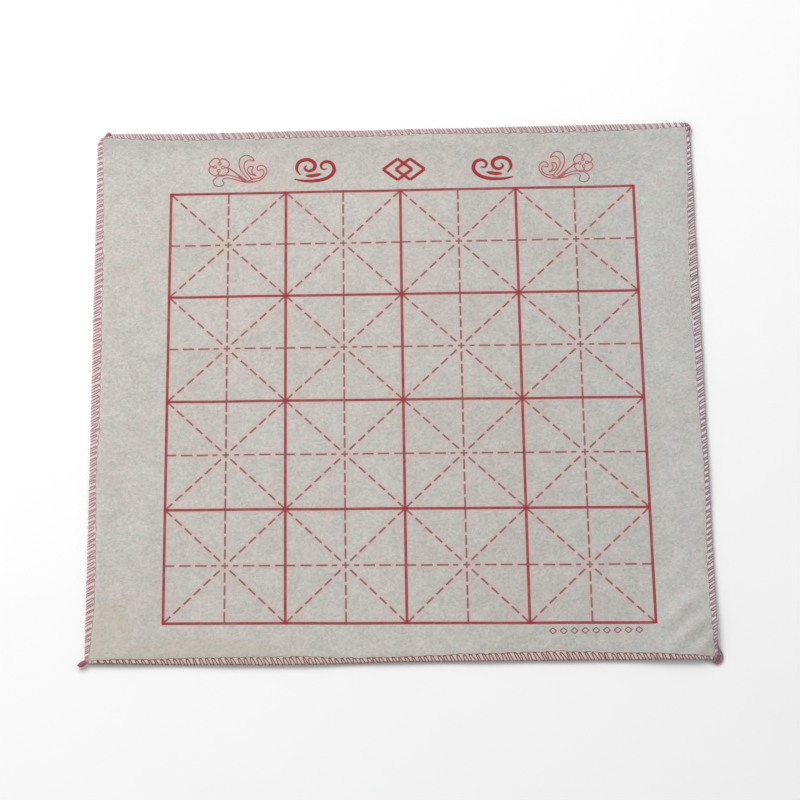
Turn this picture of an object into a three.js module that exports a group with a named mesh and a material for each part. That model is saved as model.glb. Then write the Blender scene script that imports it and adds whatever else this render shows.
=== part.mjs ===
// A calligraphy practice mat: one sheet of needle felt with an overlocked edge and a printed grid.
// Millimetres. +X is to the right, +Y to the back edge with the title band, +Z up.
// The origin is the middle of the felt's underside.
import * as THREE from "three";

// The printed grid and the felt that is left around it.
const CELL_SIDE = 100;
const GRID_COLUMNS = 4;
const GRID_ROWS = 4;
const MARGIN_LEFT = 62;
const MARGIN_RIGHT = 52;
const MARGIN_FRONT = 34;
const MARGIN_BACK = 59.5;
const INK_LINE_WIDTH = 1.7;
const INK_FILM_THICKNESS = 0.12;

// The felt. The seam squeezes its rim to a thin lip at the cut edge.
const FELT_THICKNESS = 3;
const LIP_THICKNESS = 0.7;
const SHOULDER_WIDTH = 1.4;
const INNER_CORNER_RADIUS = 1.5;
const CORNER_STEPS = 4;

// The overlock seam. Lean and lag are shares of the pitch.
const THREAD_THICKNESS = 0.8;
const STITCH_PITCH = 5.2;
const STITCH_BITE = 5.6;
const STITCH_LEAN = 0.1;
const LOOP_HEAD_WIDTH = 1.2;
const LOWER_LOOPER_LAG = 0.5;
const SEAT_GAP = 0.15;
const TIP_STRETCH_LIMIT = 2;

// The slack thread at the corners.
const SLACK_THICKNESS = 1.1;
const SLACK_LOOPS = 2;
const SLACK_SWEEP = THREE.MathUtils.degToRad(84);
const SLACK_STEPS = 24;
const SLACK_SIDES = 6;
const FRONT_RIGHT_SWING = 2.6;
const BACK_RIGHT_SWING = 1.2;
const BACK_LEFT_SWING = 1.6;
const TAIL_LENGTH = 9;
const TAIL_THICKNESS = 2.8;
const TAIL_END_SHARE = 0.45;
const TAIL_TURN = THREE.MathUtils.degToRad(-8);
const TAIL_STRANDS = 3;
const TAIL_TWIST = THREE.MathUtils.degToRad(200);
const TAIL_GROOVE = 0.24;
const TAIL_STEPS = 14;
const TAIL_SIDES = 12;

// Sizes that follow from those above.
const GRID_WIDTH = GRID_COLUMNS * CELL_SIDE;
const GRID_DEPTH = GRID_ROWS * CELL_SIDE;
const FELT_WIDTH = GRID_WIDTH + MARGIN_LEFT + MARGIN_RIGHT;
const FELT_DEPTH = GRID_DEPTH + MARGIN_FRONT + MARGIN_BACK;
const MID_HEIGHT = FELT_THICKNESS / 2;
const RIM_NIP = THREAD_THICKNESS + SEAT_GAP;
const TIP_REACH = (THREAD_THICKNESS / 2) * TIP_STRETCH_LIMIT;
const NEEDLE_INSET = STITCH_BITE + TIP_REACH + SEAT_GAP + THREAD_THICKNESS / 2;
const RIM_WIDTH = NEEDLE_INSET + THREAD_THICKNESS / 2 + SEAT_GAP;
const CORNER_RADIUS = INNER_CORNER_RADIUS + RIM_WIDTH + SHOULDER_WIDTH;
const SEAM_REACH = CORNER_RADIUS + TIP_REACH + SEAT_GAP;

const FELT_MATERIAL = new THREE.MeshStandardMaterial({ color: 0xc9c6be, roughness: 0.95, metalness: 0 });
const THREAD_MATERIAL = new THREE.MeshStandardMaterial({ color: 0xb0637a, roughness: 0.7, metalness: 0 });
const SLACK_MATERIAL = new THREE.MeshStandardMaterial({ color: 0x96405c, roughness: 0.7, metalness: 0 });
const INK_MATERIAL = new THREE.MeshStandardMaterial({ color: 0xb83f4c, roughness: 0.85, metalness: 0 });

// The felt's outline at an inset from the cut edge, counter-clockwise from the start of the front side.
function outline(inset) {
  const halfWidth = FELT_WIDTH / 2 - inset;
  const halfDepth = FELT_DEPTH / 2 - inset;
  const radius = CORNER_RADIUS - inset;
  const path = new THREE.Shape();
  path.moveTo(radius - halfWidth, -halfDepth);
  path.lineTo(halfWidth - radius, -halfDepth);
  path.absarc(halfWidth - radius, radius - halfDepth, radius, -Math.PI / 2, 0);
  path.lineTo(halfWidth, halfDepth - radius);
  path.absarc(halfWidth - radius, halfDepth - radius, radius, 0, Math.PI / 2);
  path.lineTo(radius - halfWidth, halfDepth);
  path.absarc(radius - halfWidth, halfDepth - radius, radius, Math.PI / 2, Math.PI);
  path.lineTo(-halfWidth, radius - halfDepth);
  path.absarc(radius - halfWidth, radius - halfDepth, radius, Math.PI, 1.5 * Math.PI);
  return path;
}

// The middle of a ring of points.
function middleOf(ring) {
  return ring.reduce((sum, point) => sum.add(point), new THREE.Vector3()).divideScalar(ring.length);
}

// A closed solid through rings of equally many points, with a cap on the first and the last ring.
function loft(rings) {
  const sides = rings[0].length;
  const points = [...rings.flat(), middleOf(rings[0]), middleOf(rings.at(-1))];
  const faces = [];
  for (let ring = 0; ring + 1 < rings.length; ring++) {
    for (let side = 0; side < sides; side++) {
      const here = ring * sides + side;
      const next = ring * sides + ((side + 1) % sides);
      faces.push(here, next, next + sides, here, next + sides, here + sides);
    }
  }
  const last = (rings.length - 1) * sides;
  for (let side = 0; side < sides; side++) {
    const next = (side + 1) % sides;
    faces.push(points.length - 2, next, side);
    faces.push(points.length - 1, last + side, last + next);
  }
  const solid = new THREE.BufferGeometry().setFromPoints(points);
  solid.setIndex(faces);
  solid.computeVertexNormals();
  return solid;
}

// Half the felt's thickness at an inset from the cut edge, on the rim that the stitches press down.
function rimHalfThickness(inset) {
  const lip = LIP_THICKNESS / 2;
  return lip + ((MID_HEIGHT - RIM_NIP - lip) * inset) / RIM_WIDTH;
}

function feltSheet() {
  const section = [
    [RIM_WIDTH + SHOULDER_WIDTH, -MID_HEIGHT],
    [RIM_WIDTH, -rimHalfThickness(RIM_WIDTH)],
    [0, -rimHalfThickness(0)],
    [0, rimHalfThickness(0)],
    [RIM_WIDTH, rimHalfThickness(RIM_WIDTH)],
    [RIM_WIDTH + SHOULDER_WIDTH, MID_HEIGHT],
  ];
  const rings = section.map(([inset, rise]) => {
    const loop = outline(inset).getPoints(CORNER_STEPS);
    loop.pop();
    return loop.map((point) => new THREE.Vector3(point.x, point.y, MID_HEIGHT + rise));
  });
  return loft(rings);
}

const cutEdge = outline(0);
const edgeLength = cutEdge.getLength();
const stitchCount = Math.round(edgeLength / STITCH_PITCH);
const stitchStep = edgeLength / stitchCount;

// A place on the rim: how far along the cut edge, counted in stitches, and how far in from it.
function rimPlace(stitch, inset) {
  const share = (stitch * stitchStep) / edgeLength;
  const inward = cutEdge.getTangentAt(share).rotateAround(new THREE.Vector2(), Math.PI / 2);
  return cutEdge.getPointAt(share).addScaledVector(inward, inset);
}

// A thread that lies on one face of the rim along flat points with an inset each; face is 1 above, -1 below.
function rimThread(places, face) {
  const rings = places.map(({ at, inset }, index) => {
    const before = places[Math.max(index - 1, 0)].at;
    const after = places[Math.min(index + 1, places.length - 1)].at;
    const arriving = at.clone().sub(before).normalize();
    const leaving = after.clone().sub(at).normalize();
    const across = arriving.clone().add(leaving).normalize().rotateAround(new THREE.Vector2(), Math.PI / 2);
    const leg = arriving.lengthSq() > 0 ? arriving : leaving;
    const squareness = Math.abs(across.cross(leg));
    const stretch = Math.min(1 / squareness, TIP_STRETCH_LIMIT);
    const side = across.multiplyScalar((THREAD_THICKNESS / 2) * stretch);
    const base = rimHalfThickness(inset) + SEAT_GAP;
    const low = MID_HEIGHT + face * base;
    const crest = low + face * THREAD_THICKNESS;
    return [
      new THREE.Vector3(at.x + side.x * face, at.y + side.y * face, low),
      new THREE.Vector3(at.x, at.y, crest),
      new THREE.Vector3(at.x - side.x * face, at.y - side.y * face, low),
    ];
  });
  return loft(rings);
}

// A looper runs straight in from the edge to the needle line, turns there in a head and slants back out to
// the next stitch. A head of no width is a plain turn.
function looperThread(face, lag, headWidth) {
  const places = [];
  for (let stitch = 0; stitch < stitchCount; stitch++) {
    const start = stitch + lag;
    const head = start + STITCH_LEAN;
    places.push({ at: rimPlace(start, 0), inset: 0 });
    places.push({ at: rimPlace(head, STITCH_BITE), inset: STITCH_BITE });
    if (headWidth > 0) {
      places.push({ at: rimPlace(head + headWidth / stitchStep, STITCH_BITE), inset: STITCH_BITE });
    }
  }
  return rimThread(places, face);
}

// The needle thread follows the inner ends of the upper looper's stitches.
function needleThread() {
  const line = outline(NEEDLE_INSET).getPoints(CORNER_STEPS);
  line.pop();
  return rimThread(
    line.map((at) => ({ at, inset: NEEDLE_INSET })),
    1,
  );
}

// The middle of a corner's round edge; right and back are 1 or -1.
function cornerCentre(right, back) {
  const x = right * (FELT_WIDTH / 2 - CORNER_RADIUS);
  const y = back * (FELT_DEPTH / 2 - CORNER_RADIUS);
  return new THREE.Vector2(x, y);
}

// A ring of points upright across a heading, at half the felt's height and never below its underside. The
// radius follows the turn.
function uprightRing(centre, heading, sides, radiusAt) {
  const left = heading.clone().rotateAround(new THREE.Vector2(), Math.PI / 2);
  return Array.from({ length: sides }, (_, side) => {
    const turn = (2 * Math.PI * side) / sides;
    const radius = radiusAt(turn);
    const place = centre.clone().addScaledVector(left, radius * Math.cos(turn));
    return new THREE.Vector3(place.x, place.y, MID_HEIGHT + Math.min(radius, MID_HEIGHT) * Math.sin(turn));
  });
}

// Slack thread lies round the outside of a corner in loops that swing out from the seam and back.
function cornerLoops(right, back, swing) {
  const centre = cornerCentre(right, back);
  const middle = Math.atan2(back, right);
  const radius = SLACK_THICKNESS / 2;
  const place = (share) => {
    const turn = middle + (share - 0.5) * SLACK_SWEEP;
    const out = (swing * (1 - Math.cos(2 * Math.PI * SLACK_LOOPS * share))) / 2;
    const reach = SEAM_REACH + radius + out;
    return centre.clone().add(new THREE.Vector2(Math.cos(turn), Math.sin(turn)).multiplyScalar(reach));
  };
  const rings = [];
  for (let step = 0; step <= SLACK_STEPS; step++) {
    const before = place((step - 0.5) / SLACK_STEPS);
    const heading = place((step + 0.5) / SLACK_STEPS).sub(before).normalize();
    rings.push(uprightRing(place(step / SLACK_STEPS), heading, SLACK_SIDES, () => radius));
  }
  return loft(rings);
}

// The ends of the threads stick out of the corner where the seam begins and ends, twisted into one tail
// that is drawn in at its root and at its tip.
function threadTail(right, back) {
  const outward = new THREE.Vector2(right, back).normalize();
  const root = cornerCentre(right, back).addScaledVector(outward, SEAM_REACH);
  const heading = outward.clone().rotateAround(new THREE.Vector2(), TAIL_TURN);
  const rings = [];
  for (let step = 0; step <= TAIL_STEPS; step++) {
    const share = step / TAIL_STEPS;
    const drawnIn = TAIL_END_SHARE + (1 - TAIL_END_SHARE) * Math.sqrt(Math.sin(Math.PI * share));
    const girth = (TAIL_THICKNESS / 2) * drawnIn;
    const twist = TAIL_TWIST * share;
    const radiusAt = (turn) => girth * (1 - TAIL_GROOVE * (1 - Math.cos(TAIL_STRANDS * (turn - twist))) / 2);
    const place = root.clone().addScaledVector(heading, TAIL_LENGTH * share);
    rings.push(uprightRing(place, heading, TAIL_SIDES, radiusAt));
  }
  return loft(rings);
}

// The two sides of each printed line across a run of squares.
function lineSides(squares) {
  const half = INK_LINE_WIDTH / 2;
  const lines = Array.from({ length: squares + 1 }, (_, line) => line * CELL_SIDE);
  return lines.flatMap((at) => [at - half, at + half]);
}

// The solid lines of the practice squares, as one film of ink: a patch for each stretch of line and each
// crossing, and a wall wherever a patch borders on bare felt.
function printedGrid() {
  const xs = lineSides(GRID_COLUMNS);
  const ys = lineSides(GRID_ROWS);
  const inked = (i, j) => i in xs && j in ys && i + 1 in xs && j + 1 in ys && (i % 2 === 0 || j % 2 === 0);
  const corners = [];
  const quad = (a, b, c, d) => corners.push(a, b, c, a, c, d);
  for (let i = 0; i + 1 < xs.length; i++) {
    for (let j = 0; j + 1 < ys.length; j++) {
      if (!inked(i, j)) continue;
      const rim = [
        [xs[i], ys[j]],
        [xs[i + 1], ys[j]],
        [xs[i + 1], ys[j + 1]],
        [xs[i], ys[j + 1]],
      ];
      const low = rim.map(([x, y]) => new THREE.Vector3(x, y, 0));
      const high = rim.map(([x, y]) => new THREE.Vector3(x, y, INK_FILM_THICKNESS));
      quad(...high);
      quad(...low.toReversed());
      const neighbours = [inked(i, j - 1), inked(i + 1, j), inked(i, j + 1), inked(i - 1, j)];
      neighbours.forEach((joined, side) => {
        const next = (side + 1) % 4;
        if (!joined) quad(low[side], low[next], high[next], high[side]);
      });
    }
  }
  return new THREE.BufferGeometry().setFromPoints(corners);
}

const mat = new THREE.Group();

function add(name, geometry, material) {
  const mesh = new THREE.Mesh(geometry, material);
  mesh.name = name;
  mat.add(mesh);
  return mesh;
}

add("felt_sheet", feltSheet(), FELT_MATERIAL);
add("upper_looper_thread", looperThread(1, 0, LOOP_HEAD_WIDTH), THREAD_MATERIAL);
add("lower_looper_thread", looperThread(-1, LOWER_LOOPER_LAG, 0), THREAD_MATERIAL.clone());
add("needle_thread", needleThread(), THREAD_MATERIAL.clone());
add("thread_tail_front_left", threadTail(-1, -1), SLACK_MATERIAL);
add("corner_loops_front_right", cornerLoops(1, -1, FRONT_RIGHT_SWING), SLACK_MATERIAL.clone());
add("corner_loops_back_right", cornerLoops(1, 1, BACK_RIGHT_SWING), SLACK_MATERIAL.clone());
add("corner_loops_back_left", cornerLoops(-1, 1, BACK_LEFT_SWING), SLACK_MATERIAL.clone());
const grid = add("printed_grid", printedGrid(), INK_MATERIAL);
grid.position.set(MARGIN_LEFT - FELT_WIDTH / 2, MARGIN_FRONT - FELT_DEPTH / 2, FELT_THICKNESS);

export default mat;
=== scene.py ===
"""Dresses the calligraphy felt mat: needle felt, an overlocked rose edge and a red printed practice grid."""
import logging
import math
from dataclasses import dataclass
from enum import Enum
from typing import Optional, Sequence, Union

import bmesh
import bpy
import numpy as np
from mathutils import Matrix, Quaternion, Vector


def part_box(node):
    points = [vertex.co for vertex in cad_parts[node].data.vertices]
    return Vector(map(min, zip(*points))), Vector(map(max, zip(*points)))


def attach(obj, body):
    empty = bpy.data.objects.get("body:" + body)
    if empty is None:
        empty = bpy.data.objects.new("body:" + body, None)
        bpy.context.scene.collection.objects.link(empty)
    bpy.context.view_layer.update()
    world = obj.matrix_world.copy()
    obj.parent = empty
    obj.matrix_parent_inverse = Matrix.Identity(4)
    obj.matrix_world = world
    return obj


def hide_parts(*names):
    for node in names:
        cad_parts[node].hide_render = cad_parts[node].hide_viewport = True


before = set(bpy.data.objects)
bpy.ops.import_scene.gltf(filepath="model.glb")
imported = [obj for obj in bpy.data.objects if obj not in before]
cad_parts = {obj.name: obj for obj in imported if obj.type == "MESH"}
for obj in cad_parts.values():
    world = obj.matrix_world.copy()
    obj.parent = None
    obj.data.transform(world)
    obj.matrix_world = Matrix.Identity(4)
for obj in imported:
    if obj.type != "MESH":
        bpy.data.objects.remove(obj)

LOG = logging.getLogger("felt_mat")
MM = 0.001
SEED = 50
DIAGONAL = math.sqrt(0.5)
CELLS = 4
SOLID_LINE = 1.7 * MM
CORNER_RADIUS = 4.5 * MM
STITCH_PITCH = 5.2 * MM

Colour = tuple[float, float, float]
Triple = tuple[float, float, float]
Point = tuple[float, float]
Wash = tuple[float, float, float, float, float]
Number = Union["Value", float]
Field = Union["Value", np.ndarray]


class Value:
    """A number that varies over a surface. Maths on it adds Math nodes to its material."""

    def __init__(self, paint: "Paint", socket: bpy.types.NodeSocket) -> None:
        """Keeps the material and the socket that carries the number."""
        self.paint = paint
        self.socket = socket

    def _math(self, operation: str, *terms: Number) -> "Value":
        """Adds one Math node.

        Args:
            operation: the Math node's operation.
            terms: the numbers and values that it works on, in order.

        Returns:
            The result as a value.
        """
        made = self.paint.node("ShaderNodeMath", {"operation": operation}, dict(enumerate(terms)))
        return Value(self.paint, made.outputs[0])

    def __add__(self, other: Number) -> "Value":
        """Sum."""
        return self._math("ADD", self, other)

    def __sub__(self, other: Number) -> "Value":
        """Difference."""
        return self._math("SUBTRACT", self, other)

    def __rsub__(self, other: Number) -> "Value":
        """Difference with the value second."""
        return self._math("SUBTRACT", other, self)

    def __mul__(self, other: Number) -> "Value":
        """Product."""
        return self._math("MULTIPLY", self, other)

    __radd__ = __add__
    __rmul__ = __mul__

    def sine(self) -> "Value":
        """Sine of the value in radians."""
        return self._math("SINE", self)

    def gap_to(self, period: float) -> "Value":
        """Distance to the nearest multiple of a period."""
        return self._math("PINGPONG", self, period / 2)

    def larger(self, other: Number) -> "Value":
        """The larger of two values."""
        return self._math("MAXIMUM", self, other)

    def step(self, low: float, high: float) -> "Value":
        """Smooth rise from 0 at low to 1 at high, or a fall where low is the larger.

        Args:
            low: where the result is 0.
            high: where the result is 1.

        Returns:
            The eased value.
        """
        made = self.paint.node(
            "ShaderNodeMapRange",
            {"interpolation_type": "SMOOTHSTEP"},
            {"Value": self, "From Min": low, "From Max": high},
        )
        return Value(self.paint, made.outputs[0])

    def part(self, share: float, low: float, high: float) -> "Value":
        """A share of the smooth rise from low to high."""
        return share * self.step(low, high)


class Paint:
    """A material in the making, with its nodes and its one shader."""

    def __init__(self, name: str) -> None:
        """Starts a material with the standard shader.

        Args:
            name: the material's name.
        """
        self.material = bpy.data.materials.new(name)
        self.material.use_nodes = True
        self.tree = self.material.node_tree
        self.shader = self.tree.nodes["Principled BSDF"]
        self.places = self.node("ShaderNodeTexCoord", {}, {}).outputs["Object"]
        parts = self.node("ShaderNodeSeparateXYZ", {}, {0: self.places})
        self.across, self.along = (Value(self, parts.outputs[k]) for k in (0, 1))

    def node(self, kind: str, settings: dict, inputs: dict) -> bpy.types.Node:
        """Adds any node.

        Args:
            kind: the node's type name.
            settings: its properties, which are set before the sockets.
            inputs: values or links by socket name or number.

        Returns:
            The new node.
        """
        made = self.tree.nodes.new(kind)
        for name, setting in settings.items():
            setattr(made, name, setting)
        for socket, given in inputs.items():
            self.feed(made.inputs[socket], given)
        return made

    def feed(self, socket: bpy.types.NodeSocket, given: object) -> None:
        """Links a value or a socket into an input, or sets a plain number or colour there."""
        if isinstance(given, Value):
            given = given.socket
        if isinstance(given, bpy.types.NodeSocket):
            self.tree.links.new(given, socket)
        elif isinstance(given, tuple) and socket.type == "RGBA":
            socket.default_value = (*given, 1.0)
        else:
            socket.default_value = given

    def noise(
        self, size: float, detail: float = 2.0, stretch: Triple = (1, 1, 1), turn: float = 0.0
    ) -> Value:
        """Cloudy noise on the piece's own coordinates.

        Args:
            size: width of one cloud, in metres.
            detail: number of finer layers.
            stretch: how much longer a cloud is along each axis.
            turn: turn of the stretched clouds about the upright axis, in radians.

        Returns:
            Noise around one half.
        """
        scale = tuple(1.0 / (size * s) for s in stretch)
        turned = self.node("ShaderNodeMapping", {}, {"Vector": self.places, "Rotation": (0, 0, turn)})
        sized = self.node("ShaderNodeMapping", {}, {"Vector": turned.outputs[0], "Scale": scale})
        made = self.node("ShaderNodeTexNoise", {}, {"Vector": sized.outputs[0], "Scale": 1.0, "Detail": detail})
        return Value(self, made.outputs[0])

    def attribute(self, name: str) -> Value:
        """A number stored on the piece's own points."""
        return Value(self, self.node("ShaderNodeAttribute", {"attribute_name": name}, {}).outputs["Fac"])

    def patch(self, wash: Wash, fade: Point) -> Value:
        """Share of one oval patch.

        Args:
            wash: the patch's middle, its half sizes and its share.
            fade: squared distances, in half sizes, where it ends and where it is full.

        Returns:
            The share, 0 outside the patch.
        """
        x, y, wide, long, share = wash
        dx, dy = (self.across - x) * (1 / wide), (self.along - y) * (1 / long)
        return (dx * dx + dy * dy).step(*fade) * share

    def colour(self, given: object) -> None:
        """Feeds the shader's colour."""
        self.feed(self.shader.inputs["Base Color"], given)

    def mix(self, share: Number, first: object, second: object) -> bpy.types.NodeSocket:
        """Mixes two colours.

        Args:
            share: how much of the second colour shows.
            first: colour or link at share 0.
            second: colour or link at share 1.

        Returns:
            The mixed colour's socket.
        """
        made = self.node("ShaderNodeMix", {"data_type": "RGBA"}, {0: share, 6: first, 7: second})
        return made.outputs[2]

    def bump(self, height: Value, depth: float, strength: float) -> None:
        """Raises the surface's shading by a height.

        Args:
            height: the value that stands for the height.
            depth: the rise of a height of 1, in metres.
            strength: share of the effect.
        """
        made = self.node("ShaderNodeBump", {}, {"Height": height, "Distance": depth, "Strength": strength})
        self.feed(self.shader.inputs["Normal"], made.outputs[0])

    def constants(self, **numbers: float) -> None:
        """Sets the shader's own sockets, named with underscores for blanks."""
        for name, number in numbers.items():
            self.feed(self.shader.inputs[name.replace("_", " ")], number)


@dataclass(frozen=True)
class PaintedSideShading:
    """Painted light and shade along the front, the right and the back edge of a mat of those half sizes: a
    colour and its share for each side, standing for how the light falls there.
    """

    half_width: float
    half_length: float
    front: tuple[Colour, float]
    right: tuple[Colour, float]
    back: tuple[Colour, float]
    reach: Point = (30 * MM, 8 * MM)
    left_strip: Point = (6 * MM, 12 * MM)

    def over(self, paint: Paint, ground: object) -> object:
        """Lays the painted side light and shade over a colour.

        Args:
            paint: the material that it is for.
            ground: the colour or link that shows along the left edge.

        Returns:
            The tinted colour's socket.
        """
        far, near = self.reach
        off_left = paint.across.step(*(inset - self.half_width for inset in self.left_strip))
        for place, half, (colour, share) in (
            (paint.along, self.half_length, self.back),
            (-1.0 * paint.along, self.half_length, self.front),
            (paint.across, self.half_width, self.right),
        ):
            ground = paint.mix(share * place.step(half - far, half - near) * off_left, ground, colour)
        return ground


@dataclass(frozen=True)
class PrintPlan:
    """Where the printed squares lie: their front left corner, the size of one and their number each way.

    The soft felt is stretched a little askew, so the squares drift. Each drift holds the shifts in mm that go
    with 1, u, v, uv, uu, vv, uuu and vvv, where u and v run from -1 to 1 across and along the squares.
    """

    corner: Point
    cell: float
    cells: int
    drift_across: tuple[float, ...] = (-0.72, -1.64, -0.28, 0.01, 1.89, 0.20, 1.82, 0.0)
    drift_along: tuple[float, ...] = (-0.60, -0.38, -1.94, 1.94, -0.12, -0.29, 0.0, 2.09)
    pool_reach: Point = (4.2 * MM, 1.2 * MM)

    @property
    def span(self) -> float:
        """Length of a row of squares."""
        return self.cell * self.cells

    def drift(self, x: Field, y: Field) -> tuple[Field, Field]:
        """Shifts of the stretched print.

        Args:
            x: distances from the corner across the mat, as an array or as a material's value.
            y: distances from the corner along the mat, of the same kind.

        Returns:
            The shifts across and along, of the same kind.
        """
        half = self.span / 2
        u, v = (x - half) * (1 / half), (y - half) * (1 / half)
        terms = (u, v, u * v, u * u, v * v, u * u * u, v * v * v)
        across, along = (
            sum(share * MM * term for share, term in zip(shares[1:], terms) if share) + shares[0] * MM
            for shares in (self.drift_across, self.drift_along)
        )
        return across, along

    def drifted(self, flat: np.ndarray) -> np.ndarray:
        """Stretches the print's points askew with the felt."""
        across, along = self.drift(flat[:, 0] - self.corner[0], flat[:, 1] - self.corner[1])
        return flat + np.stack([across, along, np.zeros(len(flat))], axis=1)

    def offsets(self, paint: Paint) -> tuple[Value, Value]:
        """Distances from the corner on the stretched print.

        Args:
            paint: the material that they are for.

        Returns:
            The distances across and along the mat.
        """
        x, y = paint.across - self.corner[0], paint.along - self.corner[1]
        across, along = self.drift(x, y)
        return x - across, y - along

    def pooled(self, paint: Paint) -> Value:
        """Share of ink that has pooled where two lines cross."""
        across, along = (place.gap_to(self.cell).step(*self.pool_reach) for place in self.offsets(paint))
        return across * along


@dataclass(frozen=True)
class FeltFinish:
    """Matt needle felt: crossing streaks, warm and cool patches, rose under the seam, pink beside the print,
    and painted light and shade: darker broad regions, a darker strip along the front edge and at the front
    right corner, a partly painted cooler right side and rim colours that change from side to side.
    """

    plan: PrintPlan
    # ink washes round the scrolls, and painted shade at the front right corner
    washes: tuple[Wash, ...]
    # painted light and shade on the rim along the front, right and back edges
    rim_painted_shading: PaintedSideShading
    pale: Colour = (0.645, 0.614, 0.563)
    shade: Colour = (0.450, 0.434, 0.402)
    cool_pale: Colour = (0.612, 0.612, 0.590)
    cool_shade: Colour = (0.428, 0.432, 0.420)
    warm: Colour = (0.515, 0.448, 0.360)
    rim: Colour = (0.780, 0.625, 0.625)
    rosy: Colour = (0.640, 0.520, 0.500)
    greenish: Colour = (0.510, 0.550, 0.490)
    # colour of crept ink, also used for painted shade at the front right corner
    bleed_and_corner_shade: Colour = (0.695, 0.405, 0.402)
    # a warm stain at the front left corner, then a long strip along the front edge that is painted shade where
    # the felt curves down at the front
    stains_and_front_shade: tuple[Wash, ...] = (
        (-0.240, -0.219, 0.023, 0.030, 0.36), (-0.168, -0.236, 0.070, 0.012, 0.36),
    )
    stain_and_shade_fade: Point = (1.05, 0.55)
    wash_fade: Point = (1.0, 0.2)
    solid_creep: Point = (4.0 * MM, 0.4 * MM)
    dash_creep: Point = (4.6 * MM, 0.3 * MM)
    creep_end: float = 3 * MM
    comb: float = 16 * MM
    streak: float = 1.1 * MM
    streak_turns: tuple[float, ...] = (0.4, 1.3, -0.6, -1.4)
    grain: float = 2.3 * MM
    cloud: float = 12 * MM
    patch: float = 75 * MM
    rosy_cloud: float = 13 * MM
    greenish_cloud: float = 15 * MM
    wool_shade: Triple = (0.38, 0.38, 0.62)
    grain_shade: Triple = (0.35, 0.34, 0.66)
    cloud_shade: Triple = (0.22, 0.3, 0.7)
    patch_shade: Triple = (0.08, 0.35, 0.65)
    # painted shade by place: a darker back, a darker strip right of the middle and a dark back edge on the left
    back_painted_shade: Triple = (0.13, 0.17, 0.25)
    strip_painted_shade: Triple = (0.12, -0.02, 0.10)
    strip_end: Point = (0.225, 0.19)
    edge_painted_shade: Triple = (0.32, 0.222, 0.240)
    edge_end: Point = (0.03, -0.05)
    cool_patches: Triple = (0.3, 0.5, 0.3)
    # cooler towards the right: partly the felt's own tone, partly painted light
    cool_right_tone_and_light: Triple = (0.7, 0.04, 0.25)
    rosy_part: Triple = (0.27, 0.52, 0.72)
    greenish_part: Triple = (0.3, 0.54, 0.74)
    aged_part: Triple = (0.1, 0.5, 0.68)
    rim_depths: Point = (1.5, 0.75)
    rim_share: float = 0.75

    def bleeding_and_corner_shade(self, paint: Paint) -> Value:
        """Share of ink that has crept along the fibres beside the printed lines, and painted shade at the front
        right corner.

        Args:
            paint: the material that it is for.

        Returns:
            The share, 0 away from the print and from the shaded front right corner.
        """
        cell, span = self.plan.cell, self.plan.span
        x, y = self.plan.offsets(paint)
        solid, other = (place.gap_to(cell).step(*self.solid_creep) for place in (x, y))
        solid = solid.larger(other)
        level, slant = cell, cell * DIAGONAL
        rays = (x + cell / 2, y + cell / 2, (x + y) * DIAGONAL, (x - y) * DIAGONAL)
        dashed = solid * 0.0
        for place, period in zip(rays, (level, level, slant, slant)):
            dashed = dashed.larger(place.gap_to(period).step(*self.dash_creep))
        inside = 1.0
        for place in (x, y):
            inside = place.step(-self.creep_end, 0.0) * place.step(span + self.creep_end, span) * inside
        crept = (solid * 0.9).larger(dashed * 0.4).larger(self.plan.pooled(paint)) * inside
        # the washes also hold painted shade at the front right corner
        for wash in self.washes:
            crept = crept.larger(paint.patch(wash, self.wash_fade))
        return crept

    def wool(self, paint: Paint) -> Value:
        """Fine streaks that lie one way in some places and another way in others.

        Args:
            paint: the material that they are for.

        Returns:
            The streaks, around one half.
        """
        combed = paint.noise(self.comb, 2.0).step(0.42, 0.58)
        first, second, third, fourth = (
            paint.noise(self.streak, 2.0, (1, 3.5, 1), turn) for turn in self.streak_turns
        )
        return 0.5 * (combed * (first - second) + second + combed * (third - fourth) + fourth)

    def painted_broad_shade(self, paint: Paint) -> Value:
        """Painted shade by place: a darker back, a darker strip right of the middle and a dark back edge on the
        left.

        Args:
            paint: the material that it is for.

        Returns:
            The share of painted shade.
        """
        strip = paint.across.part(*self.strip_painted_shade) * paint.across.step(*self.strip_end)
        edge = paint.along.part(*self.edge_painted_shade) * paint.across.step(*self.edge_end)
        return paint.along.part(*self.back_painted_shade) + strip + edge

    def material(self) -> bpy.types.Material:
        """Builds the material with its wool, its patches and the dimples that the stitches pull."""
        paint = Paint("needle_felt")
        wool = self.wool(paint)
        sizes = ((self.grain, 2.0), (self.cloud, 3.0), (self.patch, 2.0))
        grain, clouds, patches = (paint.noise(size, detail) for size, detail in sizes)
        dark = wool.part(*self.wool_shade) + grain.part(*self.grain_shade) + clouds.part(*self.cloud_shade)
        # painted shade: broad regions darkened by place
        dark = dark + patches.part(*self.patch_shade) + self.painted_broad_shade(paint)
        # cooler towards the right: partly the felt's own tone, partly painted light
        cooler = patches.part(*self.cool_patches) + paint.across.part(*self.cool_right_tone_and_light)
        ground = paint.mix(
            dark, paint.mix(cooler, self.pale, self.cool_pale), paint.mix(cooler, self.shade, self.cool_shade)
        )
        rosier = paint.noise(self.rosy_cloud, 1.0, turn=0.7).part(*self.rosy_part)
        greener = paint.noise(self.greenish_cloud, 1.0, turn=2.1).part(*self.greenish_part)
        ground = paint.mix(greener, paint.mix(rosier, ground, self.rosy), self.greenish)
        stained_and_shaded = patches.part(*self.aged_part)
        for dark_patch in self.stains_and_front_shade:
            stained_and_shaded = stained_and_shaded.larger(paint.patch(dark_patch, self.stain_and_shade_fade))
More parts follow.
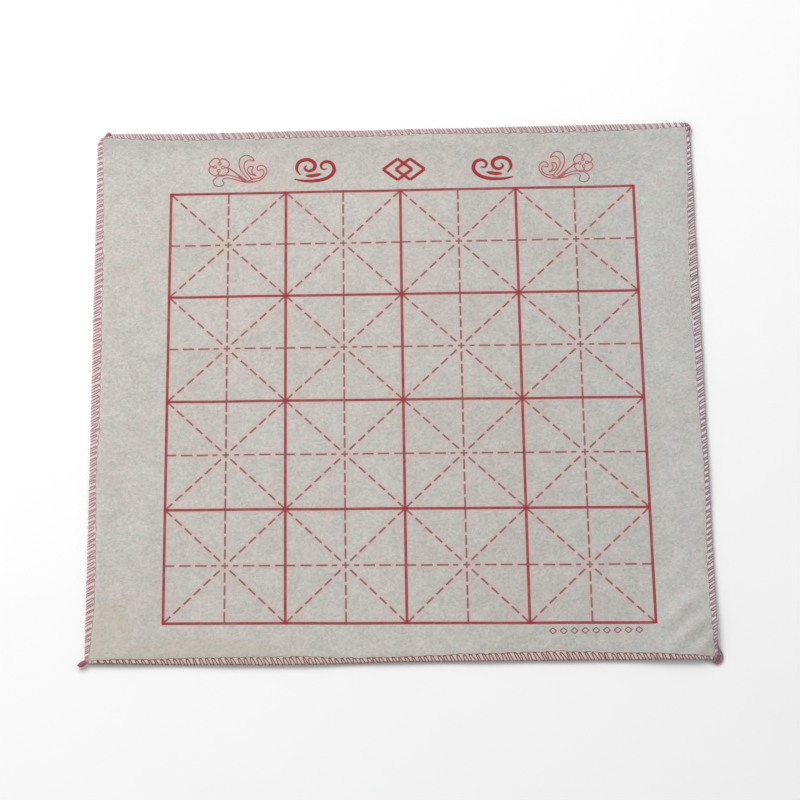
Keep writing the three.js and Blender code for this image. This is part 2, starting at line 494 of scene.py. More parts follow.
        # warm aging patches and the front left stain, with painted shade along the front edge
        aged_and_shaded = paint.mix(stained_and_shaded * (0.4 + 1.2 * clouds), ground, self.warm)
        # crept ink, and painted shade at the front right corner
        printed = paint.mix(self.bleeding_and_corner_shade(paint) * (0.4 + 1.2 * wool), aged_and_shaded, self.bleed_and_corner_shade)
        rim = paint.attribute("rim_depth").step(*self.rim_depths)
        # painted light and shade: the rim's colour changes along the front, right and back edges as the light
        # falls there
        paint.colour(paint.mix(self.rim_share * rim, printed, self.rim_painted_shading.over(paint, self.rim)))
        pulled = (paint.attribute("rim_run") * (2 * math.pi)).sine() * rim
        paint.bump(0.8 * grain + wool + 1.8 * clouds + 0.25 * pulled, 0.5 * MM, 0.7)
        paint.constants(Roughness=0.95, Sheen_Weight=0.15, Sheen_Roughness=0.6, Specular_IOR_Level=0.2)
        return paint.material


@dataclass(frozen=True)
class ThreadFinish:
    """Soft spun thread: two plies that show as slanting bands, uneven dye, and painted light and shade that
    change its colour from side to side.
    """

    name: str
    deep: Colour
    light: Colour
    painted_shading: PaintedSideShading
    turns: float
    dye_cloud: float = 4 * MM
    dye_part: Triple = (0.55, 0.3, 0.75)
    lint: float = 0.4 * MM
    plies: int = 2

    def material(self) -> bpy.types.Material:
        """Builds the material with its plies, its uneven dye and its painted side light and shade."""
        paint = Paint(self.name)
        dye = paint.noise(self.dye_cloud, 2.0).part(*self.dye_part)
        lint = paint.noise(self.lint, 1.0)
        along = paint.node("ShaderNodeUVMap", {"uv_map": "UVMap"}, {})
        parts = paint.node("ShaderNodeSeparateXYZ", {}, {0: along.outputs[0]})
        around, run = (Value(paint, parts.outputs[k]) for k in (0, 1))
        bands = ((around * self.plies + run * self.turns) * (2 * math.pi)).sine() * 0.5 + 0.5
        share = dye + 0.3 * bands + 0.15 * lint
        # painted light and shade: the thread's colour changes along the front, right and back edges as the
        # light falls there
        paint.colour(self.painted_shading.over(paint, paint.mix(share, self.deep, self.light)))
        paint.bump(bands + 0.5 * lint, 0.15 * MM, 0.6)
        paint.constants(Roughness=0.85, Sheen_Weight=0.1, Specular_IOR_Level=0.2)
        return paint.material


@dataclass(frozen=True)
class InkFinish:
    """Matt red screen print that sinks between the fibres and leaves pale flecks."""

    name: str
    ink: Colour
    worn: Colour
    plan: Optional[PrintPlan] = None
    pool: Colour = (0.400, 0.035, 0.055)
    coat_cloud: float = 12 * MM
    coat_part: Triple = (0.25, 0.35, 0.8)
    fleck: float = 0.7 * MM
    fleck_part: Triple = (0.4, 0.52, 0.74)
    weave: float = 0.9 * MM
    pool_share: float = 0.9

    def material(self) -> bpy.types.Material:
        """Builds the material with its flecks, its uneven coat and, on a plan, ink that pools at crossings."""
        paint = Paint(self.name)
        coat = paint.noise(self.coat_cloud, 2.0).part(*self.coat_part)
        flecks = paint.noise(self.fleck, 1.0, (1, 4, 1), 0.6).part(*self.fleck_part)
        laid = paint.mix(coat + flecks, self.ink, self.worn)
        if self.plan:
            laid = paint.mix(self.pool_share * self.plan.pooled(paint), laid, self.pool)
        paint.colour(laid)
        paint.bump(paint.noise(self.weave, 1.0, (1, 6, 1), 0.5), 0.3 * MM, 0.4)
        paint.constants(Roughness=0.9, Specular_IOR_Level=0.15)
        return paint.material


@dataclass(frozen=True)
class FloorFinish:
    """Plain white paper sweep that fades to an even white far from the mat."""

    white: Colour = (0.97, 0.97, 0.97)
    grey: Colour = (0.95, 0.95, 0.955)
    paper_grain: float = 80 * MM
    fade: Point = (0.55, 1.5)

    def material(self) -> bpy.types.Material:
        """Builds the material with its faint paper grain and its far white, which only the camera sees."""
        paint = Paint("paper_sweep")
        paint.colour(paint.mix(paint.noise(self.paper_grain, 2.0), self.white, self.grey))
        paint.constants(Roughness=0.9, Specular_IOR_Level=0.1)
        near, far = self.fade
        faded = (paint.across * paint.across + paint.along * paint.along).step(near**2, far**2)
        seen = Value(paint, paint.node("ShaderNodeLightPath", {}, {}).outputs["Is Camera Ray"])
        bright = paint.node("ShaderNodeEmission", {}, {"Strength": 1.0})
        both = paint.node(
            "ShaderNodeMixShader", {}, {0: faded * seen, 1: paint.shader.outputs[0], 2: bright.outputs[0]}
        )
        paint.feed(paint.tree.nodes["Material Output"].inputs["Surface"], both.outputs[0])
        return paint.material


def ray(turn: float) -> np.ndarray:
    """Unit step in a direction on the sheet."""
    return np.array([math.cos(turn), math.sin(turn)])


def curve(a: np.ndarray, b: np.ndarray, c: np.ndarray, d: np.ndarray, t: np.ndarray) -> np.ndarray:
    """Finds points of a smooth line between two of its knots.

    Args:
        a: the knot before.
        b: the knot at the start.
        c: the knot at the end.
        d: the knot after.
        t: shares of the way from start to end.

    Returns:
        The points, one a row.
    """
    return 0.5 * (2 * b + (c - a) * t + (2 * a - 5 * b + 4 * c - d) * t**2 + (3 * b - a - 3 * c + d) * t**3)


def smooth_line(points: Sequence[Sequence[float]], step: float, closed: bool = False) -> np.ndarray:
    """Runs a smooth line through points and spaces it evenly.

    Args:
        points: the points that it passes, in two or three dimensions.
        step: distance between the new points.
        closed: whether the line comes back to its start.

    Returns:
        The new points, one a row, without the start again at the end of a closed line.
    """
    knots = np.asarray(points, float)
    if closed:
        knots = np.vstack([knots[-1], knots, knots[0], knots[1]])
    else:
        knots = np.vstack([2 * knots[0] - knots[1], knots, 2 * knots[-1] - knots[-2]])
    t = np.linspace(0, 1, 12, endpoint=False)[:, None]
    spans = [curve(*near, t) for near in zip(knots, knots[1:], knots[2:], knots[3:])]
    line = np.vstack([*spans, knots[-2]])
    run = np.r_[0, np.cumsum(np.linalg.norm(np.diff(line, axis=0), axis=1))]
    count = max(2, int(round(run[-1] / step)) + 1)
    even = np.linspace(0, run[-1], count)
    line = np.stack([np.interp(even, run, axis) for axis in line.T], axis=1)
    return line[:-1] if closed else line


def finish_mesh(shape: bmesh.types.BMesh, name: str) -> bpy.types.Mesh:
    """Turns a shape in the making into a mesh of that name.

    Args:
        shape: the shape, which is freed.
        name: the mesh's name.

    Returns:
        The mesh.
    """
    mesh = bpy.data.meshes.new(name)
    shape.to_mesh(mesh)
    shape.free()
    return mesh


def store_numbers(mesh: bpy.types.Mesh, name: str, numbers: np.ndarray) -> None:
    """Keeps a number for each of a mesh's points, for its material to read."""
    mesh.attributes.new(name, "FLOAT", "POINT").data.foreach_set("value", numbers)


def add_object(name: str, data: bpy.types.ID) -> bpy.types.Object:
    """Adds a mesh, a light or a camera to the scene.

    Args:
        name: the object's name.
        data: what it holds.

    Returns:
        The object.
    """
    made = bpy.data.objects.new(name, data)
    bpy.context.scene.collection.objects.link(made)
    return made


def add_piece(mesh: bpy.types.Mesh, material: bpy.types.Material, slot: str, *nodes: str) -> bpy.types.Object:
    """Makes a finished mesh a piece that rides on the mat.

    Args:
        mesh: the finished mesh, in its place.
        material: its finish.
        slot: the material slot that it stands for; not used.
        nodes: the solids that it replaces.

    Returns:
        The piece.
    """
    mesh.materials.clear()
    mesh.materials.append(material)
    piece = add_object(mesh.name, mesh)
    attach(piece, "root")
    if nodes:
        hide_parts(*nodes)
    LOG.info("%s: %d faces", piece.name, len(mesh.polygons))
    return piece


def thread_mesh(
    name: str, runs: Sequence[np.ndarray], radius: float, sides: int, closed: bool = False
) -> bpy.types.Mesh:
    """Sweeps a round thread along lines.

    Args:
        name: the mesh's name.
        runs: the lines, each an array of points in metres.
        radius: half the thread's thickness.
        sides: even number of faces around it.
        closed: whether each line comes back to its start.

    Returns:
        A closed mesh, with the run along the thread in its UV map.
    """
    path = bpy.data.curves.new(name, "CURVE")
    path.dimensions, path.twist_mode, path.use_fill_caps = "3D", "MINIMUM", True
    path.bevel_depth, path.bevel_resolution = radius, (sides - 4) // 2
    for run in runs:
        spline = path.splines.new("POLY")
        spline.points.add(len(run) - 1)
        spline.points.foreach_set("co", np.c_[run, np.ones(len(run))].ravel())
        spline.use_cyclic_u = closed
    holder = bpy.data.objects.new(name, path)
    mesh = bpy.data.meshes.new_from_object(holder)
    bpy.data.objects.remove(holder)
    bpy.data.curves.remove(path)
    mesh.name = name
    shape = bmesh.new()
    shape.from_mesh(mesh)
    bmesh.ops.remove_doubles(shape, verts=shape.verts, dist=1e-7)
    shape.to_mesh(mesh)
    shape.free()
    mesh.shade_smooth()
    return mesh


@dataclass(frozen=True)
class Swell:
    """A low fold that lifts the sheet: its middle, turn, half length and width, height and lean.

    A lean of 1 gives both flanks one width, and a larger one stretches the flank to the right of the turn.
    """

    middle: Point
    turn: float
    half_long: float
    half_wide: float
    height: float
    lean: float = 1.0

    def lift(self, x: np.ndarray, y: np.ndarray) -> np.ndarray:
        """Height of the fold over flat places.

        Args:
            x: places across the mat.
            y: places along the mat.

        Returns:
            The heights.
        """
        dx, dy = x - self.middle[0], y - self.middle[1]
        along = dx * math.cos(self.turn) + dy * math.sin(self.turn)
        across = dy * math.cos(self.turn) - dx * math.sin(self.turn)
        wide = np.where(across < 0, self.half_wide * self.lean, self.half_wide)
        return self.height * np.exp(-((along / self.half_long) ** 2) - (across / wide) ** 2)


@dataclass(frozen=True)
class SheetLie:
    """How the sheet lies: its half sizes, the wander of its edges in mm and the folds that its seam leaves."""

    half_width: float
    half_length: float
    wander_reach: float = 30 * MM
    wander_limit: float = 1.2
    wander_step: float = 4.0
    back_wander: tuple[Point, ...] = (
        (-254, -1.8), (-244, -0.5), (-172, -1.0), (-85, 0.3), (5, 0.5), (91, 1.7), (178, 2.8), (250, 4.0),
    )
    front_wander: tuple[Point, ...] = (
        (-244, 2.0), (-165, 0.3), (-84, -0.9), (-3, 0.4), (78, 0.1), (159, -0.1), (241, -1.3),
    )
    left_wander: tuple[Point, ...] = ((-240, 0.9), (-12, -0.4), (224, -1.8), (238, -0.6), (247, 1.7))
    right_wander: tuple[Point, ...] = ((-240, -1.1), (-12, 0.0), (240, 0.7))
    flutter: float = 0.45 * MM
    flutter_reach: float = 22 * MM
    flutter_waves: tuple[Point, ...] = ((83 * MM, 0.4), (71 * MM, 2.1), (92 * MM, 1.2), (78 * MM, 3.0))
    unevenness: float = 0.16 * MM
    uneven_waves: int = 7
    uneven_lengths: Point = (45, 150)

    def folds(self) -> tuple[Swell, ...]:
        """Ripples over the front right corner, whose tip droops, two puckers at the back and broad swells."""
        x, y = self.half_width, self.half_length
        slope = math.radians(41)
        ripples = [
            Swell((x - 12.5 * MM, -y + 10.5 * MM), slope, 12 * MM, 4.0 * MM, 1.6 * MM, 1.25),
            Swell((x - 23.5 * MM, -y + 22.4 * MM), slope, 20 * MM, 4.8 * MM, 3.0 * MM, 1.3),
            Swell((x - 29.5 * MM, -y + 41.2 * MM), slope, 20 * MM, 6.4 * MM, 3.5 * MM, 1.3),
            Swell((x - 29 * MM, -y + 76 * MM), math.radians(60), 26 * MM, 8 * MM, 0.7 * MM),
            Swell((x - 15.7 * MM, -y + 18.1 * MM), slope, 42 * MM, 30 * MM, 2.8 * MM),
            Swell((x + 2.6 * MM, -y - 3.0 * MM), slope, 20 * MM, 13 * MM, -2.5 * MM),
            Swell((-64 * MM, y - 15 * MM), math.radians(30), 9 * MM, 2.8 * MM, 0.8 * MM),
            Swell((7 * MM, y - 11 * MM), math.radians(30), 9 * MM, 2.8 * MM, 0.8 * MM),
        ]
        broad = [
            Swell((x * 0.55, -y * 0.85), 0.3, 70 * MM, 26 * MM, 0.5 * MM),
            Swell((-x * 0.9, y * 0.4), 1.4, 110 * MM, 30 * MM, 0.5 * MM),
            Swell((x * 0.92, y * 0.25), 1.7, 120 * MM, 28 * MM, 0.6 * MM),
            Swell((-x * 0.05, y - 17 * MM), 0.06, 80 * MM, 8 * MM, 1.2 * MM),
            Swell((-x + 14 * MM, -y * 0.45), 1.5, 34 * MM, 6 * MM, 0.8 * MM),
            Swell((-x * 0.5, -y * 0.95), 3.0, 90 * MM, 22 * MM, 0.5 * MM),
        ]
        return (*ripples, *broad)

    def lift(self, x: np.ndarray, y: np.ndarray) -> np.ndarray:
        """Height that the sheet stands off the table at flat places.

        Args:
            x: places across the mat.
            y: places along the mat.

        Returns:
            The heights, none below zero.
        """
        rise = sum(fold.lift(x, y) for fold in self.folds())
        sides = (
            (self.half_length - y, x), (self.half_length + y, x),
            (self.half_width - x, y), (self.half_width + x, y),
        )
        for (gap, run), (wave, start) in zip(sides, self.flutter_waves):
            swing = 0.5 + 0.5 * np.sin(run / wave * 2 * math.pi + start)
            rise = rise + self.flutter * np.exp(-gap / self.flutter_reach) * swing
        dice = np.random.default_rng(SEED)
        for _ in range(self.uneven_waves):
            turn, start = dice.uniform(0, math.pi), dice.uniform(0, 6.28)
            wave = dice.uniform(*self.uneven_lengths) * MM
            swing = np.sin((x * math.cos(turn) + y * math.sin(turn)) / wave * 2 * math.pi + start)
            rise = rise + self.unevenness * (1 + swing) / 2
        return np.maximum(rise, 0.0)

    def wander(self, gap: np.ndarray, run: np.ndarray, table: Sequence[Point]) -> np.ndarray:
        """Shift of one edge off its straight line, which fades inward.

        Args:
            gap: distances in from the edge.
            run: places along it.
            table: places and shifts along the edge, in mm.

        Returns:
            The shifts.
        """
        line = smooth_line(table, self.wander_step)
        fade = np.clip(1 - gap / self.wander_reach, 0, self.wander_limit) ** 2
        return fade * np.interp(run / MM, line[:, 0], line[:, 1]) * MM

    def lay(self, flat: np.ndarray) -> np.ndarray:
        """Takes points of the flat, cut sheet to where they lie on the table.

        Args:
            flat: points of the flat sheet, one a row.

        Returns:
            The same points on the lying sheet.
        """
        x, y, z = flat.T
        right = self.wander(self.half_width - x, y, self.right_wander)
        left = self.wander(self.half_width + x, y, self.left_wander)
        back = self.wander(self.half_length - y, x, self.back_wander)
        front = self.wander(self.half_length + y, x, self.front_wander)
        return np.stack([x + left + right, y + front + back, z + self.lift(x, y)], axis=1)

    def lay_mesh(self, mesh: bpy.types.Mesh, plan: Optional[PrintPlan] = None) -> bpy.types.Mesh:
        """Lays a mesh that was modelled on the flat sheet.

        Args:
            mesh: the mesh on the flat sheet.
            plan: the plan whose drift it follows, if any.

        Returns:
            The same mesh.
        """
        flat = np.empty(len(mesh.vertices) * 3)
        mesh.vertices.foreach_get("co", flat)
        flat = flat.reshape(-1, 3)
        mesh.vertices.foreach_set("co", self.lay(plan.drifted(flat) if plan else flat).ravel())
        mesh.update()
        return mesh


@dataclass(frozen=True)
class EdgeLine:
    """The cut edge of the flat sheet, run counter-clockwise from the end of the front left corner."""

    half_width: float
    half_length: float
    radius: float
    bites: tuple[tuple[float, ...], ...] = (
        (2.4, 3.3, 4.6, 5.1, 5.3, 3.5, 3.1, 4.9, 5.7, 6.4, 5.4, 3.9, 1.8),
        (2.6, 4.8, 4.6, 3.7, 3.1, 3.9, 5.2, 5.4, 6.1, 5.8, 4.9, 3.1, 2.4),
        (3.2, 4.3, 5.2, 5.4, 4.7, 4.4, 5.4, 5.6, 6.0, 6.0, 6.5, 6.1, 3.4),
        (3.0, 4.0, 5.1, 6.0, 5.6, 6.3, 6.1, 5.7, 4.8, 5.3, 6.5, 5.9, 2.8),
    )

    @property
    def sides(self) -> tuple[float, float]:
        """Straight lengths of the front and of the right side."""
        return 2 * (self.half_width - self.radius), 2 * (self.half_length - self.radius)

    @property
    def arc(self) -> float:
        """Length round one corner."""
        return self.radius * math.pi / 2

    @property
    def length(self) -> float:
        """Length once round the mat."""
        return 2 * sum(self.sides) + 4 * self.arc

    def corner_runs(self) -> list[float]:
        """Runs to the middles of the corners: front right, back right, back left, front left."""
        wide, long = self.sides
        runs, at = [], 0.0
        for side in (wide, long, wide, long):
            at += side + self.arc / 2
            runs.append(at)
            at += self.arc / 2
        return runs

    def read(self, run: np.ndarray, sides: Sequence[Sequence[float]]) -> np.ndarray:
        """Reads a number that changes along the edge.

        Args:
            run: lengths along the edge.
            sides: for the front, right, back and left side, the numbers at even steps along it.

        Returns:
            The numbers at those lengths.
        """
        knots, at = [], 0.0
        for side, numbers in zip(self.sides * 2, sides):
            knots.append(at + np.linspace(0, side, len(numbers)))
            at += side + self.arc
        return np.interp(np.mod(run, self.length), np.concatenate(knots), np.concatenate(sides))

    def bite(self, run: np.ndarray) -> np.ndarray:
        """How far in the stitches reach at lengths along the edge."""
        return self.read(run, self.bites) * MM

    def place(self, run: np.ndarray, inset: np.ndarray) -> np.ndarray:
        """Finds flat places by their run along the edge and their distance in from it.

        Args:
            run: lengths along the edge.
            inset: distances in from the edge, below zero outside.

        Returns:
            The places, one a row.
        """
        wide, long = self.sides
        run = np.mod(run, self.length)
        found = np.zeros((len(run), 2))
        at = 0.0
        corner = np.array([-wide / 2, -long / 2])
        for turn, side in enumerate((wide, long, wide, long)):
            ahead = ray(turn * math.pi / 2)
            outward = np.array([ahead[1], -ahead[0]])
            along = run - at
            on = (along >= 0) & (along < side)
            found[on] = corner + np.outer(along[on], ahead) + np.outer(self.radius - inset[on], outward)
            corner = corner + side * ahead
            on = (along >= side) & (along < side + self.arc + 1e-9)
            swing = (along[on] - side) / self.radius
            rays = np.outer(np.cos(swing), outward) + np.outer(np.sin(swing), ahead)
            found[on] = corner + rays * (self.radius - inset[on])[:, None]
            at += side + self.arc
        return found


@dataclass
class FeltSheet:
    """The sheet of needle felt, with its rim squeezed by the seam."""

    edge: EdgeLine
    lie: SheetLie
    thickness: float
    stitch_pitch: float
    mesh_step: float = 2.6 * MM
    rim_insets: tuple[float, ...] = (
        0.0, 0.22, 0.6, 1.2, 2.2, 3.4, 4.6, 5.8, 7.0, 8.2, 9.4, 10.8, 12.4, 14.2,
    )
    squeeze: tuple[Point, ...] = (
        (0.0, 0.33), (0.04, 0.48), (0.10, 0.57), (0.27, 0.63), (0.5, 0.67),
        (1.1, 0.67), (1.3, 0.8), (1.55, 0.9), (2.0, 0.97), (2.5, 1.0),
    )

    def half_thickness(self, inset: np.ndarray, run: np.ndarray) -> np.ndarray:
        """Half the felt's thickness near its edge.

        Args:
            inset: distances in from the edge.
            run: lengths along the edge.

        Returns:
            The half thicknesses.
        """
        table = np.array(self.squeeze)
        return np.interp(inset / self.edge.bite(run), table[:, 0], table[:, 1]) * self.thickness / 2

    def lines(self, half: float) -> np.ndarray:
        """Mesh lines across the sheet, close together along the rim.

        Args:
            half: half the sheet's size that way.

        Returns:
            The lines' places in rising order.
        """
        rim = half - np.array(self.rim_insets) * MM
        reach = rim[-1] - self.mesh_step
        inner = np.linspace(-reach, reach, int(round(2 * reach / self.mesh_step)) + 1)
        return np.r_[-rim, inner, rim[::-1]]

    def rounded(self, x: np.ndarray, y: np.ndarray) -> tuple[np.ndarray, ...]:
        """Bends the corner squares of the mesh round and measures every place from the edge.

        Args:
            x: places across the square mesh.
            y: places along the square mesh.

        Returns:
            The bent places across and along, their distances in from the edge and their runs along it.
        """
        edge = self.edge
        cx, cy = edge.half_width - edge.radius, edge.half_length - edge.radius
        a = np.clip(np.abs(x) - cx, 0, None) / edge.radius
        b = np.clip(np.abs(y) - cy, 0, None) / edge.radius
        bent = (a > 0) & (b > 0)
        round_a, round_b = a * np.sqrt(1 - b**2 / 2), b * np.sqrt(1 - a**2 / 2)
        bx = np.where(bent, np.sign(x) * (cx + round_a * edge.radius), x)
        by = np.where(bent, np.sign(y) * (cy + round_b * edge.radius), y)
        straight = np.minimum(edge.half_width - np.abs(x), edge.half_length - np.abs(y))
        inset = np.where(bent, edge.radius * (1 - np.hypot(round_a, round_b)), straight)
        by_side = edge.half_width - np.abs(x) < edge.half_length - np.abs(y)
        wide, long = edge.sides
        front_run = np.where(y < 0, x + cx, wide + long + 2 * edge.arc + cx - x)
        side_run = np.where(x > 0, wide + edge.arc + y + cy, 2 * wide + long + 3 * edge.arc + cy - y)
        return bx, by, inset, np.where(by_side, side_run, front_run)

    def build(self) -> bpy.types.Mesh:
        """Makes the slab from a grid, squeezes its rim and lays it."""
        across, along = self.lines(self.edge.half_width), self.lines(self.edge.half_length)
        shape = bmesh.new()
        bmesh.ops.create_grid(shape, x_segments=len(across) - 1, y_segments=len(along) - 1, size=1.0)
        raised = bmesh.ops.extrude_face_region(shape, geom=shape.faces[:], use_keep_orig=True)["geom"]
        top = [g for g in raised if isinstance(g, bmesh.types.BMVert)]
        bmesh.ops.translate(shape, verts=top, vec=(0, 0, 1))
        bmesh.ops.recalc_face_normals(shape, faces=shape.faces[:])
        mesh = finish_mesh(shape, "needle_felt_sheet")
        unit = np.empty(len(mesh.vertices) * 3)
        mesh.vertices.foreach_get("co", unit)
        u, v, upper = unit.reshape(-1, 3).T
        x = across[np.rint((u + 1) / 2 * (len(across) - 1)).astype(int)]
        y = along[np.rint((v + 1) / 2 * (len(along) - 1)).astype(int)]
        x, y, inset, run = self.rounded(x, y)
        z = self.thickness / 2 + np.where(upper > 0.5, 1, -1) * self.half_thickness(inset, run)
        mesh.vertices.foreach_set("co", self.lie.lay(np.stack([x, y, z], axis=1)).ravel())
        store_numbers(mesh, "rim_depth", inset / self.edge.bite(run))
        store_numbers(mesh, "rim_run", run / self.stitch_pitch)
        mesh.update()
        mesh.shade_smooth()
        return mesh

    def dress(self, finish: FeltFinish) -> None:
        piece = add_piece(self.build(), finish.material(), "felt", "felt_sheet")
        2 * self.edge.half_width
        2 * self.edge.half_length


class Face(Enum):
    """The two faces of the rim that a looper covers."""

    UPPER = 1
    LOWER = -1


@dataclass
class OverlockSeam:
    """The overlocked edge: two loopers that lock along the cut edge and a needle thread that ties their heads.

    Each row of keys is one stitch: its share of the pitch, its share of the bite or, below zero, mm outside the
    edge, and its height in mm over the felt.
    """

    edge: EdgeLine
    felt: FeltSheet
    lie: SheetLie
    pitch: float
    thread_radius: float = 0.43 * MM
    needle_radius: float = 0.24 * MM
    steps: int = 24
    thread_sides: int = 6
    slopes: tuple[Point, ...] = ((0.45, 0.48), (0.66, 0.62), (0.5, 0.5), (0.48, 0.52))
    opening: tuple[tuple[float, ...], ...] = (
        (0.7, 1.0, 1.1, 0.9, 1.1, 1.0), (1.0, 0.7, 0.75, 1.05, 1.0, 0.6),
        (0.7, 0.9, 1.0, 0.9, 0.9, 0.8), (0.6, 0.95, 1.05, 1.1, 1.0, 0.7),
    )
    opening_limits: Point = (0.4, 1.2)
    head_share: float = 0.5
    start_spread: float = 0.05
    depth_spread: float = 0.06
    slope_spread: float = 0.15
    opening_spread: float = 0.18
    upper_keys: tuple[Triple, ...] = (
        (0.00, -0.18, -0.45), (0.00, 0.08, 0.18), (0.00, 0.40, 0.22), (0.01, 0.75, 0.22), (0.07, 0.95, 0.18),
        (0.21, 1.02, 0.10), (0.35, 0.95, 0.18), (0.42, 0.75, 0.22), (0.46, 0.40, 0.22), (0.50, 0.08, 0.18),
        (0.52, -0.18, -0.45), (0.60, 0.06, -0.80), (0.76, 0.07, -1.00), (0.92, 0.06, -0.80),
    )
    lower_keys: tuple[Triple, ...] = (
        (0.00, 0.10, 0.04), (0.02, 0.45, 0.05), (0.04, 0.80, 0.05), (0.12, 0.94, 0.04), (0.24, 0.98, 0.03),
        (0.36, 0.94, 0.04), (0.44, 0.80, 0.05), (0.47, 0.45, 0.05), (0.50, 0.10, 0.04), (0.64, 0.04, -0.25),
        (0.70, 0.05, -0.60), (0.84, 0.05, -0.60), (0.90, 0.04, -0.25),
    )
    needle_keys: tuple[Triple, ...] = (
        (0.21, 1.06, -0.45), (0.30, 1.10, 0.14), (0.65, 1.12, 0.10), (1.12, 1.10, 0.14),
    )

    @property
    def stitches(self) -> int:
        """Number of stitches once round the mat."""
        return int(round(self.edge.length / self.pitch))

    def trace(self, keys: Sequence[Triple], face: Face, seed: int) -> np.ndarray:
        """Runs one thread round the whole edge.

        Args:
            keys: the places that one stitch passes.
            face: the face that the heights are counted from.
            seed: start of the stitches' small differences.

        Returns:
            The thread's flat line.
        """
        repeat = np.array(keys)
        knots = np.vstack([repeat - [1, 0, 0], repeat, repeat + [1, 0, 0]])
        at = np.arange(len(knots)) / len(keys)
        t = 1 + np.arange(self.steps) / self.steps
        base = np.clip(np.floor(t * len(keys)).astype(int), 1, len(knots) - 3)
        stitch = curve(*(knots[base + k] for k in (-1, 0, 1, 2)), (t - at[base])[:, None] * len(keys))
        dice = np.random.default_rng(SEED + seed)
        count = self.stitches
        pitch = self.edge.length / count
        begin = (np.arange(count) + dice.normal(0, self.start_spread, count))[:, None] * pitch
        deeper, steeper, opener = (
            1 + dice.normal(0, spread, count)[:, None]
            for spread in (self.depth_spread, self.slope_spread, self.opening_spread)
        )
        depth = np.where(stitch[:, 1] > 0, stitch[:, 1] * deeper, 0.0)
        lean = self.edge.read(begin, self.slopes) * steeper * self.edge.bite(begin) / pitch
        wide = np.clip(self.edge.read(begin, self.opening) * opener, *self.opening_limits)
        middle = self.head_share / 2
        head = middle + (stitch[:, 0] - middle) * wide
        link = middle + middle * wide + (stitch[:, 0] - self.head_share) * (2 - wide)
        share = np.where(stitch[:, 0] <= self.head_share, head, link)
        run = (begin + (share + lean * (1 - depth)) * pitch).ravel()
        outside = np.tile(np.clip(stitch[:, 1], None, 0.0), count)
        inset = depth.ravel() * self.edge.bite(run) + outside * MM
        height = np.tile(stitch[:, 2], count) * MM + self.felt.half_thickness(np.clip(inset, 0, None), run)
        z = self.felt.thickness / 2 + face.value * height
        return np.c_[self.edge.place(run, inset), z]

    def dress(self, looper: ThreadFinish, needle: ThreadFinish) -> None:
        """Builds the threads and gives them their finishes.

        Args:
            looper: finish of the two loopers.
            needle: finish of the needle thread.
        """
        looped, tied = looper.material(), needle.material()
        thick, thin = self.thread_radius, self.needle_radius
        plan = (
            ("edge_upper_looper", self.upper_keys, Face.UPPER, thick, looped, "upper_looper_thread"),
            ("edge_lower_looper", self.lower_keys, Face.LOWER, thick, looped, "lower_looper_thread"),
            ("edge_needle_stitches", self.needle_keys, Face.UPPER, thin, tied, "needle_thread"),
        )
        for seed, (name, keys, face, radius, material, node) in enumerate(plan):
            line = self.lie.lay(self.trace(keys, face, seed))
            mesh = thread_mesh(name, [line], radius, self.thread_sides, closed=True)
            add_piece(mesh, material, "edge_thread", node)


@dataclass(frozen=True)
class Wrap:
    """A slack strand round a corner, in mm: where it leaves and joins the seam, its reach and its height.

    It reaches furthest at that share of its run, and a larger peak narrows the place.
    """

    leaves: float
    joins: float
    out: float
    height: float
    furthest: float = 0.45
    peak: float = 1.4


@dataclass(frozen=True)
class Tangle:
    """The slack thread of one corner, in mm: its wrapped strands and the loops that swing out and back.

    The loops go that far out, are that wide, and sweep along the edge round a place ahead of the corner's
    middle. They and the wraps are rooted that far in from the edge.
    """

    name: str
    node: str
    corner: int
    wraps: tuple[Wrap, ...]
    turns: int
    out: float
    width: float
    sweep: float
    ahead: float = 0.0
    root: float = 1.5


